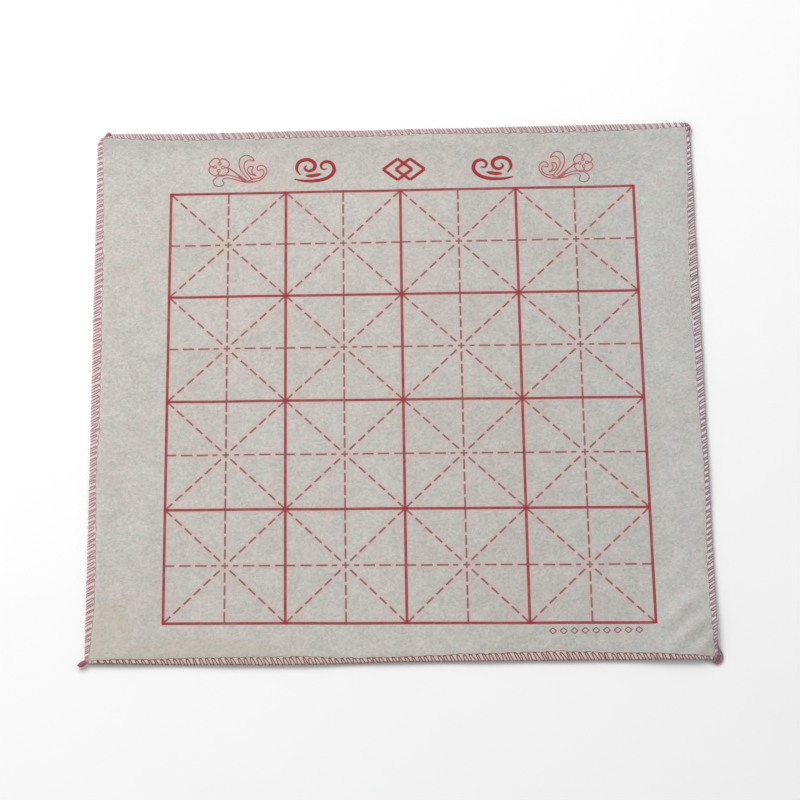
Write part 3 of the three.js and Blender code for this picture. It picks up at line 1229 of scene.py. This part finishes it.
@dataclass
class CornerThread:
    """The loose thread at the corners: a tail at the front left and slack loops at the other three."""

    edge: EdgeLine
    lie: SheetLie
    thickness: float
    thread_radius: float = 0.42 * MM
    tail_length: float = 8.0 * MM
    tail_root: float = 0.6 * MM
    tail_heading: float = math.radians(209)
    tail_strands: int = 9
    tail_steps: int = 26
    tail_twist: float = math.radians(300)
    tail_lengths: Point = (-0.16, 0.05)
    tail_twists: Point = (0.8, 1.2)
    tail_spread: tuple[Point, ...] = ((0, 0.9), (0.3, 2.2), (0.75, 2.2), (1, 1.0))
    tail_flatness: float = 0.6
    tail_rest: float = 1.2 * MM
    thread_sides: int = 8
    wrap_steps: int = 24
    wrap_sink: float = 0.25 * MM
    loop_steps: int = 14
    loop_spreads: tuple[Point, ...] = ((0.5, 1.2), (0.4, 1.3), (-0.9, 0.9))
    loop_sink: float = 0.2
    loop_rise: float = 0.5
    loop_rest: float = 1.1
    tangles: tuple[Tangle, ...] = (
        Tangle(
            "slack_front_right", "corner_loops_front_right", 0,
            (
                Wrap(-7.0, 14.0, 4.7, 1.0, 0.38, 2.6), Wrap(-8.0, 11.0, 3.5, 1.8, 0.45, 2.2),
                Wrap(-9.4, 9.0, 1.6, 2.2, 0.50),
            ),
            3, 3.0, 3.0, 6.0, 0.8, 0.5,
        ),
        Tangle(
            "slack_back_right", "corner_loops_back_right", 1,
            (Wrap(-9.0, 4.5, 1.0, 1.8),), 2, 0.7, 2.8, 5.0, -2.5,
        ),
        Tangle(
            "slack_back_left", "corner_loops_back_left", 2,
            (Wrap(-7.6, -1.6, 2.1, 2.2), Wrap(-7.0, -2.0, 1.2, 2.8)), 5, 2.2, 3.0, 2.2, -4.6,
        ),
    )

    def tail(self) -> list[np.ndarray]:
        """Twisted strands that leave the front left corner and lie down on the table."""
        start = self.edge.place(np.array([self.edge.corner_runs()[3]]), np.array([self.tail_root]))[0]
        ahead = ray(self.tail_heading)
        aside = np.array([-ahead[1], ahead[0]])
        dice = np.random.default_rng(SEED + 11)
        strands = []
        t = np.linspace(0, 1, self.tail_steps)
        spread = np.interp(t, *zip(*self.tail_spread)) * MM
        middle = np.interp(t, [0, 0.3, 1], [self.thickness * 0.7, self.thickness * 0.6, self.tail_rest])
        for strand in range(self.tail_strands):
            reach = (self.tail_length + self.tail_root) * (1 + dice.uniform(*self.tail_lengths))
            twist = self.tail_twist * dice.uniform(*self.tail_twists)
            swing = t * twist + strand * 2 * math.pi / self.tail_strands
            plan = start + np.outer(t * reach, ahead) + np.outer(np.cos(swing) * spread, aside)
            height = np.clip(middle + np.sin(swing) * spread * self.tail_flatness, self.thread_radius, None)
            strands.append(np.c_[plan, height])
        return strands

    def wrapped(self, tangle: Tangle) -> list[np.ndarray]:
        """Strands that leave the seam on one side of a corner and join it again on the other.

        Args:
            tangle: the corner's slack thread.

        Returns:
            The strands' flat lines.
        """
        middle = self.edge.corner_runs()[tangle.corner]
        t = np.linspace(0, 1, self.wrap_steps)
        top = self.thickness - self.wrap_sink
        strands = []
        for wrap in tangle.wraps:
            run = middle + (wrap.leaves + (wrap.joins - wrap.leaves) * t) * MM
            swell = np.sin(math.pi * t ** (math.log(0.5) / math.log(wrap.furthest))) ** wrap.peak
            inset = (tangle.root - (wrap.out + tangle.root) * swell) * MM
            strands.append(np.c_[self.edge.place(run, inset), top + (wrap.height * MM - top) * swell])
        return strands

    def swung(self, tangle: Tangle) -> np.ndarray:
        """One strand in uneven loops that swing out from a corner and back.

        Args:
            tangle: the corner's slack thread.

        Returns:
            The strand's flat line.
        """
        t = np.linspace(0, 1, tangle.turns * self.loop_steps + 1)
        dice = np.random.default_rng(SEED + 20 + tangle.corner)
        knots = np.linspace(0, 1, tangle.turns * 2 + 1)
        long, wide, shift = (
            np.interp(t, knots, dice.uniform(low, high, len(knots))) for low, high in self.loop_spreads
        )
        swing = t * tangle.turns * 2 * math.pi + 0.5 * shift
        run = tangle.ahead + (t - 0.5) * tangle.sweep + tangle.width / 2 * wide * np.sin(swing) + shift
        inset = tangle.root - (tangle.out + tangle.root) * (0.5 - 0.5 * np.cos(swing)) * long
        height = self.thickness / MM - self.loop_sink + self.loop_rise * np.sin(swing) * np.cos(swing / 2 + 0.6)
        fall = np.clip(-inset / tangle.out, 0, 1) * (self.thickness / MM - self.loop_rest)
        plan = self.edge.place(self.edge.corner_runs()[tangle.corner] + run * MM, inset * MM)
        return np.c_[plan, np.clip((height - fall) * MM, self.thread_radius, None)]

    def dress(self, finish: ThreadFinish) -> None:
        """Builds the tail and the loops and gives them their finish.

        Args:
            finish: finish of the bunched thread.
        """
        material = finish.material()
        plan = [("corner_tail", "thread_tail_front_left", self.tail())]
        for tangle in self.tangles:
            plan.append((tangle.name, tangle.node, [*self.wrapped(tangle), self.swung(tangle)]))
        for name, node, lines in plan:
            laid = [self.lie.lay(line) for line in lines]
            mesh = thread_mesh(name, laid, self.thread_radius, self.thread_sides)
            add_piece(mesh, material, "bunched_thread", node)


class InkFilm:
    """A film of ink built up from strokes on the flat sheet."""

    EMBED = 0.06 * MM
    FILM = 0.10 * MM
    STEP = 2.5 * MM
    LEVELS = 7
    LEVEL_STEP = 0.004 * MM

    def __init__(self, ground: float) -> None:
        """Starts an empty film.

        Args:
            ground: height of the flat felt's top.
        """
        self.shape = bmesh.new()
        self.ground = ground
        self.count = 0

    def stroke(self, line: np.ndarray, width: float, brush: float = 0.0, closed: bool = False) -> None:
        """Draws one stroke.

        Args:
            line: the stroke's middle line on the flat sheet.
            width: its full width.
            brush: share of the width that it loses towards both ends.
            closed: whether it comes back to its start.
        """
        if closed:
            line = np.vstack([line, line[:1]])
        ahead = np.gradient(line, axis=0)
        if closed:
            ahead[0] = ahead[-1] = line[1] - line[-2]
        ahead /= np.linalg.norm(ahead, axis=1)[:, None]
        t = np.linspace(0, 1, len(line))
        half = width / 2 * (1 - brush * np.abs(2 * t - 1) ** 3)
        aside = np.c_[-ahead[:, 1], ahead[:, 0]] * half[:, None]
        level = self.ground + self.FILM + (self.count % self.LEVELS) * self.LEVEL_STEP
        ends = [self.shape.verts.new((*side, level)) for side in (line[0] - aside[0], line[0] + aside[0])]
        rib = self.shape.edges.new(ends)
        for low, high in zip(line[1:] - aside[1:], line[1:] + aside[1:]):
            right = ends[0]
            drawn = bmesh.ops.extrude_edge_only(self.shape, edges=[rib])["geom"]
            rib = next(g for g in drawn if isinstance(g, bmesh.types.BMEdge))
            ends = sorted(rib.verts, key=lambda v: (v.co.xy - right.co.xy).length)
            ends[0].co.xy, ends[1].co.xy = low, high
        self.count += 1

    def bar(self, start: Point, end: Point, width: float) -> None:
        """Draws one straight stroke with enough points to follow the felt.

        Args:
            start: where it begins.
            end: where it ends.
            width: its width.
        """
        length = math.dist(start, end)
        count = max(2, int(math.ceil(length / self.STEP)) + 1)
        self.stroke(np.linspace(start, end, count), width)

    def lozenge(self, middle: Point, half: Point, width: float) -> None:
        """Draws a lozenge of four straight strokes.

        Args:
            middle: its middle.
            half: half its width and height.
            width: the strokes' width.
        """
        (x, y), (wide, high) = middle, half
        tips = ((x + wide, y), (x, y + high), (x - wide, y), (x, y - high))
        for first, second in zip(tips, (*tips[1:], tips[0])):
            self.bar(first, second, width)

    def mesh(self, name: str, lie: SheetLie, plan: Optional[PrintPlan] = None) -> bpy.types.Mesh:
        """Gives the film its thickness and lays it on the felt.

        Args:
            name: the mesh's name.
            lie: how the felt lies.
            plan: the plan whose drift it follows, if any.

        Returns:
            The finished mesh.
        """
        shape = self.shape
        bmesh.ops.recalc_face_normals(shape, faces=shape.faces[:])
        under = [f for f in shape.faces if f.normal.z < 0]
        bmesh.ops.reverse_faces(shape, faces=under)
        bmesh.ops.solidify(shape, geom=shape.faces[:], thickness=self.FILM + self.EMBED)
        bmesh.ops.recalc_face_normals(shape, faces=shape.faces[:])
        return lie.lay_mesh(finish_mesh(shape, name), plan)


@dataclass
class PracticeGrid:
    """The printed squares: solid lines and, in each, dashed middle lines and diagonals round a small cross.

    The dashes are given by their starts and ends in mm from the square's rim or corner.
    """

    plan: PrintPlan
    lie: SheetLie
    ground: float
    line_width: float = 2.2 * MM
    dash_width: float = 1.5 * MM
    dash_sink: float = 0.03 * MM
    cross_arm: float = 2.8 * MM
    level_dashes: tuple[Point, ...] = ((0.0, 8.4), (12.5, 22.0), (25.6, 35.1), (38.7, 43.0))
    upright_dashes: tuple[Point, ...] = ((0.0, 10.0), (12.4, 21.4), (24.1, 32.7), (35.4, 44.2))
    slanting_dashes: tuple[Point, ...] = (
        (0.6, 8.5), (12.0, 19.9), (23.4, 31.3), (34.8, 42.7), (46.2, 54.1), (57.6, 65.0),
    )

    def lines(self) -> bpy.types.Mesh:
        """Draws the solid lines."""
        film = InkFilm(self.ground)
        x, y = self.plan.corner
        span, over = self.plan.span, self.line_width / 2
        for k in range(self.plan.cells + 1):
            at = k * self.plan.cell
            film.bar((x - over, y + at), (x + span + over, y + at), self.line_width)
            film.bar((x + at, y - over), (x + at, y + span + over), self.line_width)
        return film.mesh("printed_solid_lines", self.lie, self.plan)

    def dashes(self) -> bpy.types.Mesh:
        """Draws the dashed lines and the crosses of all squares."""
        film = InkFilm(self.ground - self.dash_sink)
        half = self.plan.cell / 2
        corners = [(x * DIAGONAL, y * DIAGONAL) for x in (1, -1) for y in (1, -1)]
        rays = (
            ((1, 0), half, self.level_dashes), ((-1, 0), half, self.level_dashes),
            ((0, 1), half, self.upright_dashes), ((0, -1), half, self.upright_dashes),
            *((corner, half * math.sqrt(2), self.slanting_dashes) for corner in corners),
        )
        for column in range(self.plan.cells):
            for row in range(self.plan.cells):
                middle = np.array(self.plan.corner) + (np.array([column, row]) + 0.5) * self.plan.cell
                for outward, reach, dashes in rays:
                    rim = middle + np.array(outward) * reach
                    for dash in dashes:
                        ends = (tuple(rim - np.array(outward) * mm * MM) for mm in dash)
                        film.bar(*ends, self.dash_width)
                for arm in (np.array([self.cross_arm, 0]), np.array([0, self.cross_arm])):
                    film.bar(tuple(middle - arm), tuple(middle + arm), self.dash_width)
        return film.mesh("printed_dashes", self.lie, self.plan)

    def dress(self, solid: InkFinish, dashed: InkFinish) -> None:
        """Builds the lines and gives them their finishes.

        Args:
            solid: finish of the solid lines.
            dashed: finish of the thinner dashes.
        """
        add_piece(self.lines(), solid.material(), "red_ink", "printed_grid")
        add_piece(self.dashes(), dashed.material(), "red_ink")


class Motif(Enum):
    """The plain motifs of the ornament band."""

    CLOUD = "cloud"
    LOZENGES = "lozenges"


@dataclass
class OrnamentBand:
    """The print round the squares: two flowering scrolls, three bold motifs between them and a small border.

    The drawings are in mm. A petal's points are distances and turns in degrees from the flower's middle.
    """

    plan: PrintPlan
    lie: SheetLie
    ground: float
    scroll_start: float = 32 * MM
    scroll_lift: float = 5 * MM
    scroll_stroke: float = 0.92 * MM
    mirror_squeeze: float = 0.93
    motif_places: tuple[float, ...] = (125.6 * MM, 202.6 * MM, 279.6 * MM)
    motif_lift: float = 20 * MM
    motif_stroke: float = 3.3 * MM
    border_place: Point = (318 * MM, -9.5 * MM)
    border_length: float = 70 * MM
    border_marks: int = 9
    border_lozenge: Point = (2.9 * MM, 2.6 * MM)
    fine_step: float = 0.6 * MM
    scroll_step: float = 0.8 * MM
    motif_step: float = 1.0 * MM
    thin_share: float = 0.8
    brush_share: float = 0.7
    wash_patches: tuple[Wash, ...] = (
        (9.9, 19.4, 13.0, 13.0, 0.4), (34.0, 6.6, 17.0, 6.0, 0.75), (38.0, 14.0, 18.0, 18.0, 0.42),
    )

    flower: Point = (9.9, 19.4)
    petals: int = 4
    petal: tuple[Point, ...] = (
        (4.7, -43), (6.4, -44), (8.2, -36), (9.4, -22), (9.5, -4),
        (9.2, 12), (9.3, 26), (8.0, 38), (6.4, 44), (4.7, 43),
    )
    petal_turn: float = 40.0
    bud: Point = (3.4, 1.3)
    bud_points: int = 8
    stems: tuple[tuple[Point, ...], ...] = (
        ((18.0, 18.6), (24.0, 14.0), (29.5, 9.4), (34.5, 5.2)),
        ((17.6, 18.9), (24.6, 13.0), (29.0, 8.6), (33.0, 4.9)),
        ((11.5, 11.6), (18.5, 11.3), (26.0, 8.9), (32.5, 5.4)),
        ((11.8, 11.7), (7.8, 9.4), (5.0, 5.8), (6.3, 2.0), (9.8, 0.4), (13.4, 1.5), (14.2, 3.9), (13.0, 6.4),
         (15.2, 8.4), (21.5, 7.9), (28.5, 5.4), (33.6, 4.0)),
        ((35.0, 7.6), (29.6, 14.6), (27.4, 21.6), (28.4, 27.6), (32.6, 30.8), (37.2, 29.6), (40.6, 25.2),
         (36.0, 26.2), (32.4, 23.6), (31.6, 19.0), (33.8, 13.6), (38.6, 7.4)),
        ((42.2, 10.4), (37.4, 12.2), (34.8, 16.0), (36.2, 19.4), (39.6, 19.4), (38.4, 16.0), (39.2, 13.0),
         (42.2, 10.4)),
        ((33.0, 4.4), (39.0, 4.2), (46.0, 6.4), (50.6, 11.4), (51.4, 16.2), (48.6, 20.2), (44.4, 20.2),
         (42.8, 17.2), (44.6, 15.6), (47.2, 16.8), (49.0, 14.2), (47.4, 9.8), (42.4, 7.6), (36.8, 7.8)),
        ((27.0, 9.6), (31.0, 7.0), (35.4, 4.6), (39.6, 5.0)),
        ((29.0, 6.6), (33.0, 5.2), (36.6, 5.8), (39.4, 7.0)),
    )
    cloud: tuple[tuple[Point, ...], ...] = (
        ((-18.0, -8.6), (-9.0, -10.4), (3.0, -10.0), (12.0, -6.6), (16.4, -0.4), (14.6, 6.4), (9.0, 8.4),
         (5.0, 5.2), (6.4, 1.2), (10.2, 1.4)),
        ((-13.0, -4.4), (-16.2, 1.4), (-14.0, 8.2), (-6.8, 10.6), (-0.8, 7.2), (-1.0, 1.6), (-5.6, -0.6),
         (-9.4, 2.0), (-7.4, 5.0)),
        ((-8.4, -5.4), (-2.0, -5.2), (5.4, -3.6)),
    )
    lozenge: Triple = (12.6, 10.4, 5.4)

    def placed(self, points: Sequence[Sequence[float]], mirrored: bool) -> np.ndarray:
        """Takes points of a scroll to the sheet.

        Args:
            points: points in mm from the scroll's outer lower corner.
            mirrored: whether it is the right scroll, which faces the other way and is a little narrower.

        Returns:
            The places on the flat sheet, one a row.
        """
        (x, y), span = self.plan.corner, self.plan.span
        start = span - self.scroll_start if mirrored else self.scroll_start
        scale = [-self.mirror_squeeze if mirrored else 1.0, 1.0]
        return np.array(points) * scale * MM + [x + start, y + span + self.scroll_lift]

    def washes(self) -> tuple[Wash, ...]:
        """Where ink has crept round the scrolls: middle, half sizes and share of each patch."""
        return tuple(
            (*self.placed([(x, y)], mirrored)[0], wide * MM, high * MM, share)
            for mirrored in (False, True) for x, y, wide, high, share in self.wash_patches
        )

    def scroll(self, film: InkFilm, mirrored: bool) -> None:
        """Draws the flower and the scroll at one end of the band.

        Args:
            film: the film that takes the strokes.
            mirrored: whether it is the right one.
        """
        middle = np.array(self.flower)
        reach, radius = self.bud
        round_bud = np.linspace(0, 2 * math.pi, self.bud_points, endpoint=False)
        for leaf in range(self.petals):
            turn = math.radians(self.petal_turn + 360 / self.petals * leaf)
            rim = [middle + r * ray(turn + math.radians(a)) for r, a in self.petal]
            film.stroke(smooth_line(self.placed(rim, mirrored), self.scroll_step), self.scroll_stroke)
            heart = middle + reach * ray(turn + math.pi / self.petals)
            ring = [heart + radius * ray(a) for a in round_bud]
            line = smooth_line(self.placed(ring, mirrored), self.fine_step, closed=True)
            film.stroke(line, self.scroll_stroke * self.thin_share, closed=True)
        for stem in self.stems:
            film.stroke(smooth_line(self.placed(stem, mirrored), self.scroll_step), self.scroll_stroke)

    def motif(self, film: InkFilm, form: Motif, middle: Point, side: int) -> None:
        """Draws one bold motif.

        Args:
            film: the film that takes the strokes.
            form: which motif it is.
            middle: its middle on the flat sheet.
            side: 1, or -1 for a mirrored one.
        """
        if form is Motif.CLOUD:
            for curl in self.cloud:
                line = np.array(curl) * [side * MM, MM] + middle
                film.stroke(smooth_line(line, self.motif_step), self.motif_stroke, brush=self.brush_share)
            return
        wide, high, apart = (mm * MM for mm in self.lozenge)
        for offset in (-apart, apart):
            place = (middle[0] + offset, middle[1])
            film.lozenge(place, (wide, high), self.motif_stroke * self.thin_share)

    def border(self, film: InkFilm) -> None:
        """Draws the small row of lozenges under the squares.

        Args:
            film: the film that takes the strokes.
        """
        x, y = np.add(self.plan.corner, self.border_place)
        pitch = self.border_length / (self.border_marks - 1)
        for k in range(self.border_marks):
            film.lozenge((x + k * pitch, y), self.border_lozenge, self.scroll_stroke)

    def dress(self, line_work: InkFinish, bold: InkFinish) -> None:
        """Builds the ornaments and gives them their finishes.

        Args:
            line_work: finish of the thin scrolls.
            bold: finish of the bold motifs.
        """
        scrolls, motifs = InkFilm(self.ground), InkFilm(self.ground)
        for mirrored in (False, True):
            self.scroll(scrolls, mirrored)
        self.border(scrolls)
        x, y = self.plan.corner
        top = y + self.plan.span + self.motif_lift
        forms = ((Motif.CLOUD, 1), (Motif.LOZENGES, 1), (Motif.CLOUD, -1))
        for place, (form, side) in zip(self.motif_places, forms):
            self.motif(motifs, form, (x + place, top), side)
        add_piece(scrolls.mesh("printed_scrolls", self.lie), line_work.material(), "red_ink")
        add_piece(motifs.mesh("printed_motifs", self.lie), bold.material(), "red_ink")


@dataclass
class FeltNap:
    """Loose fibres that stand out of the felt's face."""

    edge: EdgeLine
    felt: FeltSheet
    lie: SheetLie
    count: int = 5200
    fibre_radius: float = 0.035 * MM
    fibre_sides: int = 4
    margin: float = 11 * MM
    reach: Point = (1.2 * MM, 4.0 * MM)
    bend_spread: float = 0.5
    rise: Point = (0.05, 0.22)
    sink: float = 0.04 * MM
    face_depth: float = 9.0

    def fibres(self) -> list[np.ndarray]:
        """Short bent lines, scattered over the face, that start and end in the felt."""
        dice = np.random.default_rng(SEED + 40)
        lines = []
        for _ in range(self.count):
            x = dice.uniform(-1, 1) * (self.edge.half_width - self.margin)
            y = dice.uniform(-1, 1) * (self.edge.half_length - self.margin)
            turn, bend = dice.uniform(0, 2 * math.pi), dice.normal(0, self.bend_spread)
            half = dice.uniform(*self.reach) / 2
            rise = dice.uniform(*self.rise) * MM
            steps = [(-half, -bend, -self.sink), (0.0, 0.0, rise), (half, bend, -self.sink)]
            lines.append(np.array([
                (*(t * ray(turn + b * 0.5) + (x, y)), self.felt.thickness + up) for t, b, up in steps
            ]))
        return lines

    def dress(self, finish: FeltFinish) -> None:
        """Builds the fibres and gives them the felt's finish, away from the rim's colour.

        Args:
            finish: finish of the felt.
        """
        lines = [self.lie.lay(line) for line in self.fibres()]
        mesh = thread_mesh("felt_nap", lines, self.fibre_radius, self.fibre_sides)
        store_numbers(mesh, "rim_depth", np.full(len(mesh.vertices), self.face_depth))
        add_piece(mesh, finish.material(), "felt")


@dataclass
class Studio:
    """The white sweep, the soft light from the back left, and the camera with its angles in degrees."""

    target: Triple = (0.00153, -0.01361, 0.003)
    distance: float = 2.600
    elevation: float = 65.07
    azimuth: float = 0.24
    roll: float = 0.52
    lens: float = 139.36
    sensor: float = 36.0
    key_place: Triple = (-1.2, 1.45, 2.05)
    key_size: float = 1.7
    key_power: float = 57.0
    world_strength: float = 0.52
    floor_half: float = 8.0
    floor_drop: float = 0.3 * MM

    def floor(self) -> None:
        """Lays the sweep just under the mat."""
        shape = bmesh.new()
        bmesh.ops.create_grid(shape, x_segments=8, y_segments=8, size=self.floor_half)
        bmesh.ops.translate(shape, verts=shape.verts[:], vec=(0, 0, -self.floor_drop))
        mesh = finish_mesh(shape, "sweep")
        mesh.materials.append(FloorFinish().material())
        sweep = add_object("sweep", mesh)

    def light(self) -> None:
        """Hangs the soft key light and sets the even light of the room."""
        lamp = bpy.data.lights.new("key", "AREA")
        lamp.size, lamp.energy = self.key_size, self.key_power
        key = add_object("key", lamp)
        key.location = self.key_place
        key.rotation_euler = (-Vector(self.key_place)).to_track_quat("-Z", "Y").to_euler()
        world = bpy.data.worlds.new("room")
        world.use_nodes = True
        tree = world.node_tree
        air = tree.nodes["Background"]
        path = tree.nodes.new("ShaderNodeLightPath")
        seen = tree.nodes.new("ShaderNodeMapRange")
        seen.inputs["To Min"].default_value = self.world_strength
        seen.inputs["To Max"].default_value = 1.0
        tree.links.new(path.outputs["Is Camera Ray"], seen.inputs["Value"])
        tree.links.new(seen.outputs[0], air.inputs["Strength"])
        air.inputs["Color"].default_value = (1, 1, 1, 1)
        bpy.context.scene.world = world

    def camera(self) -> None:
        """Sets the camera at the picture's angle."""
        rise, swing = math.radians(self.elevation), math.radians(self.azimuth)
        look = Vector((math.sin(swing) * math.cos(rise), math.cos(swing) * math.cos(rise), -math.sin(rise)))
        lens = bpy.data.cameras.new("camera")
        lens.lens, lens.sensor_width = self.lens, self.sensor
        view = add_object("camera", lens)
        view.location = Vector(self.target) - look * self.distance
        view.rotation_mode = "QUATERNION"
        rolled = Quaternion((0, 0, 1), -math.radians(self.roll))
        view.rotation_quaternion = look.to_track_quat("-Z", "Y") @ rolled
        bpy.context.scene.camera = view

    def build(self) -> None:
        """Sets floor, light, camera and the plain view transform."""
        self.camera()
        self.floor()
        self.light()
        bpy.context.scene.view_settings.view_transform = "Standard"


def main() -> None:
    """Builds the mat's pieces in order and sets up the studio."""
    logging.basicConfig(level=logging.INFO, format="%(name)s: %(message)s")
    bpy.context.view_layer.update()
    low, high = (np.array(corner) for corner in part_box("felt_sheet"))
    half_width, half_length, _ = (high - low) / 2
    thickness = float(high[2] - low[2])
    grid_low, grid_high = (np.array(corner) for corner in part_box("printed_grid"))
    cell = float(grid_high[0] - grid_low[0] - SOLID_LINE) / CELLS
    corner = (float(grid_low[0]) + SOLID_LINE / 2, float(grid_low[1]) + SOLID_LINE / 2)
    plan = PrintPlan(corner, cell, CELLS)

    Studio().build()
    edge = EdgeLine(float(half_width), float(half_length), CORNER_RADIUS)
    lie = SheetLie(edge.half_width, edge.half_length)
    pitch = edge.length / round(edge.length / STITCH_PITCH)
    felt = FeltSheet(edge, lie, thickness, pitch)
    grid = PracticeGrid(plan, lie, thickness)
    band = OrnamentBand(plan, lie, thickness)
    size = (edge.half_width, edge.half_length)
    # painted light and shade on the felt's rim, side by side
    rim_painted_shading = PaintedSideShading(
        *size, ((0.715, 0.515, 0.470), 0.8), ((0.830, 0.740, 0.790), 0.85), ((0.620, 0.500, 0.515), 0.8)
    )
    # painted shade at the front right corner, where the felt curls away from the light
    corner_painted_shade = (edge.half_width - 8 * MM, 5 * MM - edge.half_length, 15 * MM, 8 * MM, 0.13)
    wool = FeltFinish(plan, (*band.washes(), corner_painted_shade), rim_painted_shading)
    felt.dress(wool)
    # the side colours of this thread are painted light and shade along the front, right and back edges
    rose = ThreadFinish(
        "rose_thread", (0.540, 0.310, 0.320), (0.740, 0.490, 0.500),
        PaintedSideShading(
            *size, ((0.190, 0.066, 0.052), 0.80), ((0.340, 0.235, 0.280), 0.75), ((0.380, 0.255, 0.280), 0.65)
        ),
        6000.0,
    )
    # the side colours of this thread are painted light and shade along the front, right and back edges
    pale = ThreadFinish(
        "needle_thread_pale", (0.520, 0.350, 0.360), (0.640, 0.520, 0.510),
        PaintedSideShading(
            *size, ((0.420, 0.320, 0.300), 0.6), ((0.500, 0.420, 0.450), 0.6), ((0.480, 0.380, 0.390), 0.5)
        ),
        3000.0,
    )
    OverlockSeam(edge, felt, lie, pitch).dress(rose, pale)
    # the side colours of this thread are painted light and shade along the front, right and back edges
    bunched = ThreadFinish(
        "bunched_rose_thread", (0.385, 0.075, 0.140), (0.700, 0.300, 0.385),
        PaintedSideShading(
            *size, ((0.300, 0.080, 0.110), 0.3), ((0.420, 0.265, 0.325), 0.66), ((0.420, 0.110, 0.160), 0.2)
        ),
        20.0,
    )
    CornerThread(edge, lie, thickness).dress(bunched)
    line_ink = InkFinish("red_line_ink", (0.278, 0.066, 0.074), (0.430, 0.205, 0.204), plan)
    dash_ink = InkFinish("red_dash_ink", (0.236, 0.138, 0.133), (0.405, 0.285, 0.280))
    scroll_ink = InkFinish("red_scroll_ink", (0.330, 0.125, 0.128), (0.470, 0.275, 0.270))
    bold_ink = InkFinish("red_bold_ink", (0.345, 0.032, 0.042), (0.450, 0.090, 0.090))
    grid.dress(line_ink, dash_ink)
    band.dress(scroll_ink, bold_ink)
    FeltNap(edge, felt, lie).dress(wool)


if __name__ == "__main__":
    main()
